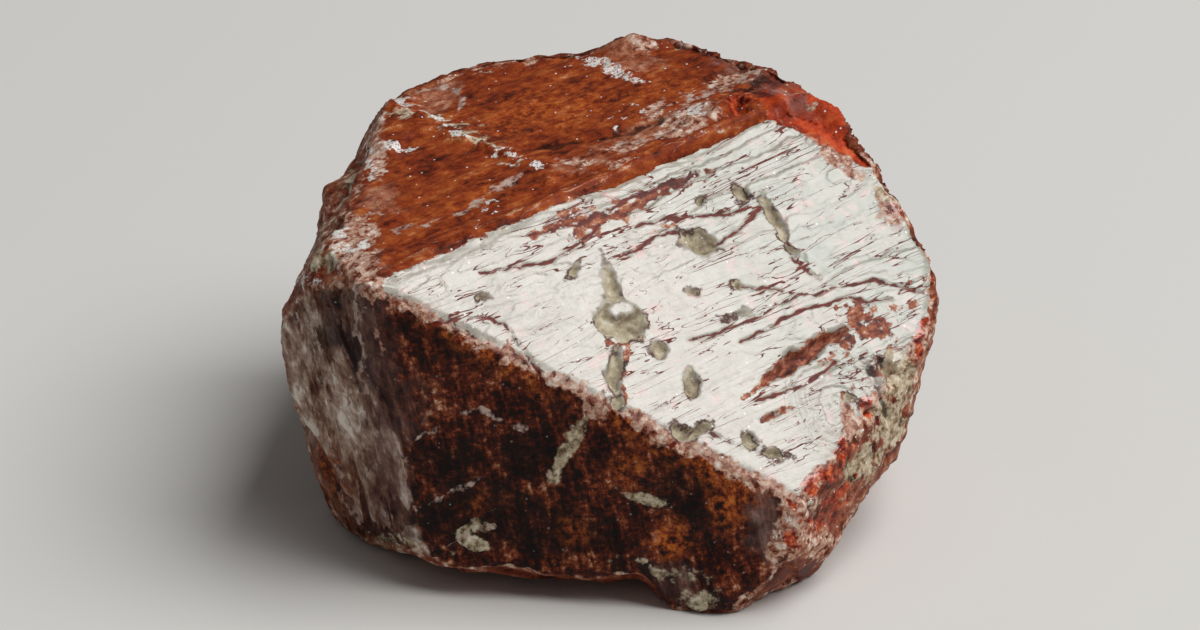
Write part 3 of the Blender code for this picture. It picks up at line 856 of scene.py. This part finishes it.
SEEN_GLOW = (
    (3.2, -10.2, 1.0, 0.8, 20.0, 1.0),
    (5.8, -8.6, 0.8, 1.1, 10.0, 0.9),
    (1.3, -7.0, 0.9, 0.9, 0.0, 0.6),
    (-1.2, -9.9, 0.6, 0.7, 30.0, 0.6),
    (-5.5, -8.5, 0.5, 0.7, 0.0, 0.4),
    (1.8, -4.9, 2.8, 0.7, -36.0, 1.0),
    (5.4, -7.2, 2.6, 0.7, -34.0, 1.0),
    (-5.0, -1.6, 3.6, 0.7, -34.0, 0.8),
    (-2.5, 9.6, 2.6, 1.0, 15.0, 0.7),
    (-6.0, 5.4, 2.2, 0.6, 25.0, 0.5),
    (2.8, 10.6, 1.8, 0.4, 10.0, 0.6),
    (-12.2, -7.4, 0.8, 2.0, 15.0, 0.6),
)
GRAZING = 0.12
GRAZING_FADE = 3.0
RED_LINE_WIDTH = 0.12
SHEEN_INSET = 0.02
FACE_SPARE = 0.4


def patch(shapes, warp=0.35):
    """Distance inside the nearest of some seen ovals, with a bent outline."""
    x = seen_x + warp * patchy + 0.5 * warp * noise_in(points, 1.7, 9.0)
    y = seen_y - warp * noise_in(points, 0.9, 12.0)
    found = np.max([oval(x, y, shape) for shape in shapes], axis=0)
    return np.minimum(found, (facing - GRAZING) * GRAZING_FADE)


other_growth = np.max([inside_face(name) for name in growth_planes if name not in inside], axis=0)
front_marks = np.minimum(vein_inside, inside["front"] + 0.5)
pits = np.minimum(pit_inside, inside["bright"] + 0.3)
lower_right = ramp(bright_u, 14.5, 19.5) * ramp(bright_v, 8.5, 11.0)
upper_band = (1.0 - ramp(bright_v, 1.6, 4.4)) * ramp(bright_u, 5.5, 10.0)
stretched = waves(bright_u, bright_v, 0.32, 1.5, 61.0)
bare = 0.30 * stretched + 0.12 * noise_in(points, 1.9) - 0.40
bare += 0.34 * lower_right + 0.24 * upper_band * (1.0 - ramp(np.abs(bright_u - 12.0), 4.0, 9.0))
bare = np.maximum(np.maximum(bare, gouge_inside), RED_LINE_WIDTH - red_away)
wisps = np.maximum(upper_band, 0.6 * ramp(bright_u, 12.0, 16.0))
wisps = np.maximum(np.maximum(wisps, lower_right), 0.14)
wisps = np.maximum(wisps, 1.3 - ramp(crack_away, 0.05, 0.45))
glow = np.max([share * ramp(oval(seen_x, seen_y, shape), -0.5, 0.6) for *shape, share in SEEN_GLOW], axis=0)
pale_away = np.min([line(bent_x, bent_y, corners) for corners in SEEN_PALE], axis=0)
crack_width = 0.065 + 0.06 * noise_in(points, 1.3)

marks = {
    # Painted sheen: the pale colour of the bright face paints the reflection of the light
    "painted_sheen": np.minimum(inside["bright"] - SHEEN_INSET, -orange),
    "on_top": inside["top"],
    "on_front": inside["front"],
    "on_left": inside["left"],
    "on_growth": other_growth,
    "hollow": np.maximum(-rough - 0.42 - 2.0 * (1.0 - broken), 1.3 * plain * back_pits - 1.0),
    "on_orange": orange,
    "pit": pits,
    "tan": patch(SEEN_TAN),
    "vein": front_marks,
    "bare": np.where(inside["bright"] > -FACE_SPARE, bare, -1.0),
    "gem": patch(SEEN_GEM, 0.15),
    "painted_facet_sheen": patch(SEEN_FACET_SHEEN, 0.5),
    "shade": patch(SEEN_SHADE, 0.5),
    "blush": patch(SEEN_BLUSH, 0.4),
    "crack": np.where(inside["bright"] > -FACE_SPARE, crack_width - crack_away, -1.0),
    "furrow": 0.10 + 0.08 * patchy - furrow_away,
    "glint": patch(SEEN_GLINTS, 0.12),
    "worn": np.minimum(np.maximum(edge_width + edge_depth, patch(SEEN_PINK)), 0.1 - orange),
    "scratch": 0.06 + 0.07 * patchy - pale_away,
    "glow": glow,
    "wisps": wisps,
    "right": right * on_face["bright"],
    # Painted sheen: pale lines on the top, next to the bright face, paint the light on its thin steps
    "near_sheen": (1.0 - ramp(top_v, 0.4, 2.6)) * on_face["top"],
    "clear": 1.0 - 0.8 * on_face["front"] - 0.6 * on_face["left"],
}
for name, values in marks.items():
    mesh.attributes.new(name, "FLOAT", "POINT").data.foreach_set("value", values.astype(np.float32))
print("attributes:", ", ".join(marks))

# %% [markdown]
# ## A tool for shader nodes
#
# A material is a tree of nodes. One small function adds a node, gives it its settings and joins it
# to outputs of the nodes before it. Colours are written the way a picture editor shows them and
# are turned into the linear values that light works with.

# %% Node tool
def srgb(text):
    channels = [int(text[start:start + 2], 16) / 255 for start in (0, 2, 4)]
    linear = [value / 12.92 if value <= 0.04045 else ((value + 0.055) / 1.055) ** 2.4 for value in channels]
    return (*linear, 1.0)


def add(tree, kind, links, out=0, stops=(), spread=0.5, **settings):
    """Add a node and give back one of its outputs.

    Each link is an output of an earlier node or a plain value. The stops of a colour ramp stand
    evenly about its middle, as far as the spread on either side.
    """
    node = tree.nodes.new("ShaderNode" + kind)
    for name, value in settings.items():
        setattr(node, name, value)
    for socket, source in links.items():
        if isinstance(source, bpy.types.NodeSocket):
            tree.links.new(source, node.inputs[socket])
        else:
            node.inputs[socket].default_value = source
    for number, colour in enumerate(stops):
        position = 0.5 + spread * (2.0 * number / (len(stops) - 1) - 1.0)
        if number > 1:
            node.color_ramp.elements.new(position)
        node.color_ramp.elements[number].position = position
        node.color_ramp.elements[number].color = srgb(colour)
    return node.outputs[out]


print("a mid grey in linear values:", [round(value, 3) for value in srgb("808080")])

# %% [markdown]
# ## Patterns
#
# The patterns work in mm on axes that run with the crystal: along the top edge, across, and out of
# the top face. A noise has a stretch of these axes and a size in mm for its lumps, then how much
# finer detail it has, how rough that is, and how far it bends. Growth lines are lumps stretched
# along the first axis, and slivers are lumps stretched across it. Grains are cells of one value.

# %% Patterns
STRETCHES = {
    "even": (1.0, 1.0, 1.0),
    "along": (0.15, 1.0, 1.0),
    "loose": (0.30, 1.0, 1.0),
    "upright": (1.0, 0.15, 0.15),
    "drawn": (0.09, 1.0, 1.0),
}
NOISES = {
    "fine": ("even", 0.42, 7.0, 0.70, 0.0),
    "middle": ("even", 0.91, 6.0, 0.65, 0.3),
    "broad": ("even", 2.4, 6.0, 0.65, 0.0),
    "speck": ("even", 0.125, 3.0, 0.70, 0.0),
    "clumps": ("even", 1.25, 3.0, 0.50, 0.0),
    "ragged": ("even", 0.67, 4.0, 0.60, 0.0),
    "loose": ("loose", 0.59, 8.0, 0.72, 0.5),
    "streaks": ("along", 0.67, 8.0, 0.68, 0.5),
    "slivers": ("upright", 0.67, 8.0, 0.68, 0.3),
    "fine_streaks": ("along", 0.20, 3.0, 0.60, 0.2),
    "fine_slivers": ("upright", 0.20, 3.0, 0.60, 0.2),
    "threads": ("drawn", 0.48, 2.5, 0.50, 0.6),
    "long_threads": ("drawn", 1.1, 3.0, 0.50, 0.9),
}
GRAINS = {"crumbs": ("even", 0.22), "shards": ("upright", 0.9)}

across_top = growth_planes["top"][0].cross(TOP_EDGE)
crystal_turn = Matrix((TOP_EDGE, across_top, growth_planes["top"][0])).to_euler()


def add_patterns(tree):
    """The axes and each noise and grain, by name."""
    where = add(tree, "TexCoord", {}, "Object")
    in_mm = (1 / MM, 1 / MM, 1 / MM)
    place = add(tree, "Mapping", {"Vector": where, "Rotation": crystal_turn, "Scale": in_mm})
    patterns = {}
    for name, stretch in STRETCHES.items():
        patterns[name + " axes"] = add(tree, "Mapping", {"Vector": place, "Scale": stretch})
    for name, (axes, size, detail, rough, bend) in NOISES.items():
        links = {"Vector": patterns[axes + " axes"], "Scale": 1.0 / size, "Detail": detail,
                 "Roughness": rough, "Distortion": bend}
        patterns[name] = add(tree, "TexNoise", links)
    for name, (axes, size) in GRAINS.items():
        links = {"Vector": patterns[axes + " axes"], "Scale": 1.0 / size}
        patterns[name] = add(tree, "TexVoronoi", links, "Color")
    return patterns


print(len(NOISES), "noises and", len(GRAINS), "grains")

# %% [markdown]
# ## Blends and paints
#
# A finish is a blend of patterns that chooses between a few colours, from its darkest to its
# palest. The spread says how much of the blend's range the colours share: a small spread makes
# strong contrast. The pale colours of the bright face are painted sheen, a painted reflection of
# the light. They are darker than the face looks, because its real shine adds to them.

# %% Paints
BLENDS = {
    "fine": {"fine": 1.0},
    "cloudy": {"middle": 0.5, "fine": 0.5},
    "hazy": {"broad": 0.5, "middle": 0.4, "fine": 0.1},
    "rough": {"broad": 0.26, "middle": 0.39, "fine": 0.35},
    "grown": {"streaks": 0.30, "fine_streaks": 0.12, "broad": 0.18, "middle": 0.14, "fine": 0.26},
    "splintered": {"slivers": 0.36, "fine_slivers": 0.28, "fine": 0.16, "shards": 0.20},
    "woven": {"fine_streaks": 0.16, "fine_slivers": 0.18, "slivers": 0.10, "fine": 0.22, "middle": 0.22,
              "broad": 0.12},
    "striped": {"broad": 0.26, "loose": 0.22, "streaks": 0.10, "middle": 0.20, "fine": 0.22},
    "sheeny": {"broad": 0.36, "streaks": 0.24, "fine": 0.40},
    "streaky": {"streaks": 0.5, "fine": 0.5},
    "grainy": {"fine": 0.80, "crumbs": 0.20},
    "relief": {"speck": 0.35, "fine": 0.35, "streaks": 0.30},
}
PAINTS = {
    "break": ("rough", 0.12, ("1E0805", "4C1D12", "7A3722", "9A5A42", "B88468", "DCBFA6")),
    "growth": ("grown", 0.11, ("120503", "3A120A", "6A2814", "904826", "B87C5A")),
    "left": ("splintered", 0.10, ("100504", "341612", "60362A", "82604E", "B69A88", "F0E4D8")),
    # Painted shade: the front's colours are darker than the stone's own red-brown, for a face turned from
    # the light
    "front": ("woven", 0.092, ("040101", "120402", "2C0D06", "5A200E", "904C2C", "D6AE92")),
    "shade": ("woven", 0.12, ("020000", "080201", "180703", "38140A", "8C4A2C")),
    "top": ("striped", 0.11, ("1C0804", "4A190C", "7E2F12", "9C441A", "B4622E", "DCAA86")),
    # Painted sheen on the thin steps of the top beside the bright face
    "painted sheen line": ("fine", 0.15, ("B4806A", "E0B89E")),
    "orange": ("hazy", 0.13, ("4A120A", "962E14", "C4461C", "D6683A", "E09A78")),
    "glow": ("fine", 0.15, ("8A3610", "B8531D", "D67A34")),
    # Greyish-purple painted sheen and shading of facets
    "painted_facet_sheen": ("splintered", 0.12, ("220F0C", "4C302B", "74534A", "A68D86")),
    "blush": ("cloudy", 0.12, ("6A3020", "9A5A40", "BE8468", "DCB49C")),
    # The bright face's pale painted sheen, a painted reflection of the light, mottled grey and pink below
    "painted_sheen": ("sheeny", 0.20, ("887B6E", "ABA397", "BCB6A9", "C5BFB1", "CDC0B1")),
    "grey painted sheen": ("fine", 0.15, ("9EA092", "ACAEA0")),
    "pink painted sheen": ("fine", 0.15, ("C6A49A", "D6B8B0")),
    "red line": ("fine", 0.15, ("4E160C", "7E2A18")),
    "bare": ("streaky", 0.11, ("1A0502", "521708", "8A3A1A", "B06844", "DDB49A")),
    "worn": ("grainy", 0.15, ("4A1E14", "8C4E3A", "BC8E78", "D4B4A0", "ECDED2")),
    # A dark ring round each pit: painted shade of the pit's rim
    "painted pit rim shade": ("fine", 0.15, ("38140C", "5C2C20")),
    "rock": ("grainy", 0.14, ("5A4630", "988468", "C2B496", "D6CBB0", "EAE2CE")),
    "pit rock": ("cloudy", 0.10, ("7C6B52", "A3967B", "B8AC90", "D0C6B0")),
    "gem": ("fine", 0.12, ("3E0B05", "7E2410", "B4431F", "D8764A")),
    "scratch": ("fine", 0.15, ("9E8478", "CCB4A8")),
    "glint": ("fine", 0.15, ("E2E0DA", "FCFAF6")),
}


def add_paints(tree, patterns):
    """The blends, and each finish's colour, by name."""
    blends = {}
    for title, shares in BLENDS.items():
        blends[title] = 0.0
        for name, share in shares.items():
            links = {0: patterns[name], 1: share, 2: blends[title]}
            blends[title] = add(tree, "Math", links, operation="MULTIPLY_ADD")
    paints = {}
    for title, (blend, spread, stops) in PAINTS.items():
        paints[title] = add(tree, "ValToRGB", {"Fac": blends[blend]}, 0, stops, spread)
    return blends, paints


print(len(PAINTS), "finishes from", len(BLENDS), "blends")

# %% [markdown]
# ## Masks
#
# A mask is 1 where a finish lies and 0 elsewhere. A border has four values: the attribute it reads,
# a shift outwards, how far noise bends it, and how soft it is, in mm. A gate opens where a
# noise is high. A thread is the narrow place where a noise passes its middle value, which gives
# long wavy lines, wider where its attribute is high. Sparks are the middles of some cells.

# %% Masks
SHARES = ("glow", "right", "near_sheen", "clear", "wisps")
BORDERS = {
    "on growth": ("on_growth", 0.0, 0.80, 0.25),
    "on left": ("on_left", 0.0, 0.60, 0.30),
    "on front": ("on_front", 0.0, 0.30, 0.10),
    "on top": ("on_top", 0.0, 0.30, 0.10),
    "on orange": ("on_orange", 0.0, 0.60, 0.20),
    "shade": ("shade", 0.0, 0.90, 0.70),
    "painted_facet_sheen": ("painted_facet_sheen", 0.0, 0.90, 0.50),
    "blush": ("blush", 0.0, 0.60, 0.25),
    "painted_sheen": ("painted_sheen", 0.0, 0.40, 0.04),
    "bare": ("bare", 0.0, 0.40, 0.04),
    "worn": ("worn", 0.0, 0.50, 0.08),
    "crack": ("crack", 0.0, 0.08, 0.03),
    "painted pit rim shade": ("pit", 0.08, 0.40, 0.06),
    "pit": ("pit", -0.03, 0.36, 0.04),
    "tan": ("tan", 0.0, 1.00, 0.16),
    "vein": ("vein", 0.0, 0.30, 0.06),
    "hollow": ("hollow", 0.0, 1.40, 0.20),
    "furrow": ("furrow", 0.0, 0.40, 0.08),
    "gem": ("gem", 0.0, 0.90, 0.10),
    "scratch": ("scratch", 0.0, 0.36, 0.06),
    "glint": ("glint", 0.0, 0.90, 0.06),
}
# Nearly all of the ragged noise lies within 0.16 of its middle value, so with this reach a border
# bends by up to about 0.4 of the width given, to either side
RAGGED_REACH = 2.5
GATES = {
    "fine spots": ("fine", 0.38, 0.66),
    "fine half": ("fine", 0.35, 0.55),
    "middle half": ("middle", 0.40, 0.60),
    "middle peaks": ("middle", 0.55, 0.68),
    "broad half": ("broad", 0.40, 0.60),
    "clump half": ("clumps", 0.36, 0.56),
    "speck half": ("speck", 0.40, 0.52),
}
THREADS = {
    "thread": ("threads", "wisps", 0.016),
    "long thread": ("long_threads", "wisps", 0.015),
    "top thread": ("threads", "near_sheen", 0.020),
}
THREAD_LEAST = 0.0005
THREAD_CORE = 0.4
SPARK_SPACING = 0.45
SPARK_SIZE = 0.14
SPARK_CHOICE = 0.62


def add_masks(tree, patterns):
    """Each mask, by name."""
    masks = {}
    for title in SHARES:
        masks[title] = add(tree, "Attribute", {}, "Fac", attribute_name=title)
    for title, (attribute, shift, wobble, soft) in BORDERS.items():
        reach = add(tree, "Attribute", {}, "Fac", attribute_name=attribute)
        wobble = wobble * RAGGED_REACH
        reach = add(tree, "Math", {0: reach, 1: shift - 0.5 * wobble}, operation="ADD")
        reach = add(tree, "Math", {0: patterns["ragged"], 1: wobble, 2: reach}, operation="MULTIPLY_ADD")
        links = {"Value": reach, "From Min": -soft, "From Max": soft}
        masks[title] = add(tree, "MapRange", links, interpolation_type="SMOOTHSTEP")
    for title, (name, start, end) in GATES.items():
        links = {"Value": patterns[name], "From Min": start, "From Max": end}
        masks[title] = add(tree, "MapRange", links, interpolation_type="SMOOTHSTEP")
    for title, (name, density, width) in THREADS.items():
        reach = add(tree, "Math", {0: masks[density], 1: masks["clump half"]}, operation="MULTIPLY")
        reach = add(tree, "Math", {0: reach, 1: width, 2: THREAD_LEAST}, operation="MULTIPLY_ADD")
        core = add(tree, "Math", {0: reach, 1: THREAD_CORE}, operation="MULTIPLY")
        away = add(tree, "Math", {0: patterns[name], 1: 0.5}, operation="SUBTRACT")
        away = add(tree, "Math", {0: away}, operation="ABSOLUTE")
        links = {"Value": away, "From Min": reach, "From Max": core}
        masks[title] = add(tree, "MapRange", links, interpolation_type="SMOOTHSTEP")
    links = {"Vector": patterns["even axes"], "Scale": 1.0 / SPARK_SPACING}
    away = add(tree, "TexVoronoi", links, "Distance")
    links = {"Value": away, "From Min": SPARK_SIZE, "From Max": SPARK_SIZE / 2}
    masks["spark"] = add(tree, "MapRange", links, interpolation_type="SMOOTHSTEP")
    masks["chosen"] = add(tree, "Math", {0: away.node.outputs["Color"], 1: SPARK_CHOICE},
                          operation="GREATER_THAN")
    return masks


print(len(BORDERS), "borders,", len(GATES), "gates and", len(THREADS), "threads")

# %% [markdown]
# ## Layers
#
# The finishes are laid over one another like coats of paint, from the bare break up to the glints.
# Each layer names its finish, how strong it is, and the masks that are multiplied to say where it
# lies. Some masks also change the roughness: threads, crumbs and pits are dull, glints are polished.

# %% Layers
LAYERS = (
    ("growth", 1.0, "on growth"),
    ("left", 1.0, "on left"),
    ("front", 1.0, "on front"),
    ("top", 1.0, "on top"),
    ("blush", 0.7, "blush"),
    ("painted sheen line", 1.0, "near_sheen", "top thread", "middle half"),
    ("orange", 1.0, "on orange"),
    ("shade", 0.8, "shade"),
    ("glow", 1.0, "glow", "fine spots"),
    # Painted sheen and shading of facets
    ("painted_facet_sheen", 0.7, "painted_facet_sheen"),
    # Painted sheen over the bright face, mottled grey and pink
    ("painted_sheen", 1.0, "painted_sheen"),
    ("grey painted sheen", 1.0, "painted_sheen", "right", "broad half"),
    ("pink painted sheen", 1.0, "painted_sheen", "middle peaks"),
    ("red line", 1.0, "painted_sheen", "thread"),
    ("red line", 1.0, "painted_sheen", "long thread"),
    ("bare", 1.0, "bare"),
    ("worn", 1.0, "worn"),
    ("red line", 1.0, "crack"),
    # Painted shade round the rims of the pits
    ("painted pit rim shade", 1.0, "painted pit rim shade", "clump half"),
    ("pit rock", 1.0, "pit"),
    ("rock", 0.9, "vein"),
    ("rock", 0.8, "tan"),
    ("rock", 0.8, "hollow"),
    # Painted shadow in the furrows under the ledges
    ("shade", 0.8, "furrow"),
    ("gem", 1.0, "gem"),
    ("scratch", 1.0, "scratch", "fine half"),
    ("glint", 1.0, "glint", "speck half"),
    ("glint", 1.0, "clear", "spark", "chosen"),
)
ROUGH_MASKS = {
    "thread": 0.90,
    "long thread": 0.90,
    "worn": 0.85,
    "bare": 0.85,
    "crack": 0.85,
    "painted pit rim shade": 0.85,
    "pit": 0.90,
    "glint": 0.12,
    "gem": 0.12,
}
ROUGH_RANGE = 0.25
FINE_LOW = 0.3
FINE_HIGH = 0.7
BUMP_STRENGTH = 0.8
MIX_SHARE, MIX_FROM, MIX_TO, MIX_OUT = 0, 6, 7, 2
BLEND_SHARE, BLEND_FROM, BLEND_TO = 0, 2, 3


def make_zircon(name, ior, specular, shine, bump_height):
    """The crystal's surface: how strongly it reflects, its least roughness, and its grain in mm."""
    material = bpy.data.materials.new(name)
    material.use_nodes = True
    tree = material.node_tree
    surface = tree.nodes["Principled BSDF"]
    surface.inputs["IOR"].default_value = ior
    surface.inputs["Specular IOR Level"].default_value = specular
    patterns = add_patterns(tree)
    blends, paints = add_paints(tree, patterns)
    masks = add_masks(tree, patterns)
    look = paints["break"]
    for paint, share, *titles in LAYERS:
        for title in titles:
            share = add(tree, "Math", {0: share, 1: masks[title]}, operation="MULTIPLY")
        links = {MIX_SHARE: share, MIX_FROM: look, MIX_TO: paints[paint]}
        look = add(tree, "Mix", links, MIX_OUT, data_type="RGBA")
    tree.links.new(look, surface.inputs["Base Color"])
    links = {"Value": patterns["fine"], "From Min": FINE_LOW, "From Max": FINE_HIGH,
             "To Min": shine, "To Max": shine + ROUGH_RANGE}
    rough = add(tree, "MapRange", links)
    for title, value in ROUGH_MASKS.items():
        links = {BLEND_SHARE: masks[title], BLEND_FROM: rough, BLEND_TO: value}
        rough = add(tree, "Mix", links, data_type="FLOAT")
    tree.links.new(rough, surface.inputs["Roughness"])
    links = {"Height": blends["relief"], "Distance": bump_height * MM, "Strength": BUMP_STRENGTH}
    bump = add(tree, "Bump", links)
    tree.links.new(bump, surface.inputs["Normal"])
    print(name, "has", len(tree.nodes), "nodes")
    return material


# %% [markdown]
# ## Two materials for one stone
#
# Zircon is a hard, dense silicate with a high index of refraction, near 1.9, so a clean crystal face
# shines almost like diamond. The bright face is such a face. The others are etched and dusty:
# they take a lower index and more roughness, which gives the eye a duller, deeper red-brown.

# %% Zircon materials
lively = make_zircon("zircon crystal, bright face", 1.85, 0.5, 0.24, 0.05)
dull = make_zircon("zircon crystal, dull faces and breaks", 1.5, 0.15, 0.40, 0.14)
mesh.materials.clear()
mesh.materials.append(dull)
mesh.materials.append(lively)
lively_points = (inside["bright"] > 0.0) & (orange < 0.0)
first_corner = np.empty(len(mesh.polygons), np.int32)
mesh.polygons.foreach_get("loop_start", first_corner)
corner_points = np.empty(len(mesh.loops), np.int32)
mesh.loops.foreach_get("vertex_index", corner_points)
lively_faces = lively_points[corner_points[first_corner]]
mesh.polygons.foreach_set("material_index", lively_faces.astype(np.int32))
mesh.polygons.foreach_set("use_smooth", np.ones(len(mesh.polygons), bool))
mesh.update()
print("lively faces", int(lively_faces.sum()), "of", len(mesh.polygons))

# %% [markdown]
# ## Floor, light and camera
#
# A pale floor and one large soft light keep the scene plain. The light stands where the bright
# face mirrors it towards the camera, as in the photograph, so that face shines over its painted sheen.

# %% Studio
FLOOR_SIDE = 3.0
AIM = place_in_frame((0, 0, 0))
CAMERA_FAR = 0.25
LENS = 165.5
LIGHT_WAY = Vector((0.52, -0.10, 0.85))
LIGHT_FAR = 0.6
LIGHT_SIDE = 0.48
LIGHT_POWER = 3.9
ROOM_LIGHT = 0.13
PAPER_ROUGHNESS = 0.9
SENSOR_WIDTH = 36.0
CLIP_NEAR = 0.01

bpy.ops.object.select_all(action="DESELECT")
bpy.ops.mesh.primitive_plane_add(size=FLOOR_SIDE, location=(0, 0, 0))
floor = bpy.context.object
floor.name = "floor"
paper = bpy.data.materials.new("pale paper")
paper.use_nodes = True
paper.node_tree.nodes["Principled BSDF"].inputs["Base Color"].default_value = srgb("DCDAD6")
paper.node_tree.nodes["Principled BSDF"].inputs["Roughness"].default_value = PAPER_ROUGHNESS
floor.data.materials.append(paper)

bpy.ops.object.light_add(type="AREA", location=AIM + LIGHT_WAY.normalized() * LIGHT_FAR)
lamp = bpy.context.object
lamp.data.shape = "SQUARE"
lamp.data.size = LIGHT_SIDE
lamp.data.energy = LIGHT_POWER
lamp.rotation_euler = LIGHT_WAY.to_track_quat("Z", "Y").to_euler()

world = bpy.data.worlds.new("soft grey room")
world.use_nodes = True
world.node_tree.nodes["Background"].inputs["Color"].default_value = srgb("FFFFFF")
world.node_tree.nodes["Background"].inputs["Strength"].default_value = ROOM_LIGHT
bpy.context.scene.world = world

view = Vector((0.0, -math.cos(SEEN_RISE), math.sin(SEEN_RISE)))
bpy.ops.object.camera_add(location=AIM + view * CAMERA_FAR, rotation=view.to_track_quat("Z", "Y").to_euler())
camera = bpy.context.object
camera.data.lens = LENS
camera.data.sensor_width = SENSOR_WIDTH
camera.data.clip_start = CLIP_NEAR
bpy.context.scene.camera = camera
bpy.context.scene.view_settings.view_transform = "Standard"
print("camera at", [round(value, 3) for value in camera.location])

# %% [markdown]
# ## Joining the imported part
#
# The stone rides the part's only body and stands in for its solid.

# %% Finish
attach(stone, "root")
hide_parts("zircon_crystal")
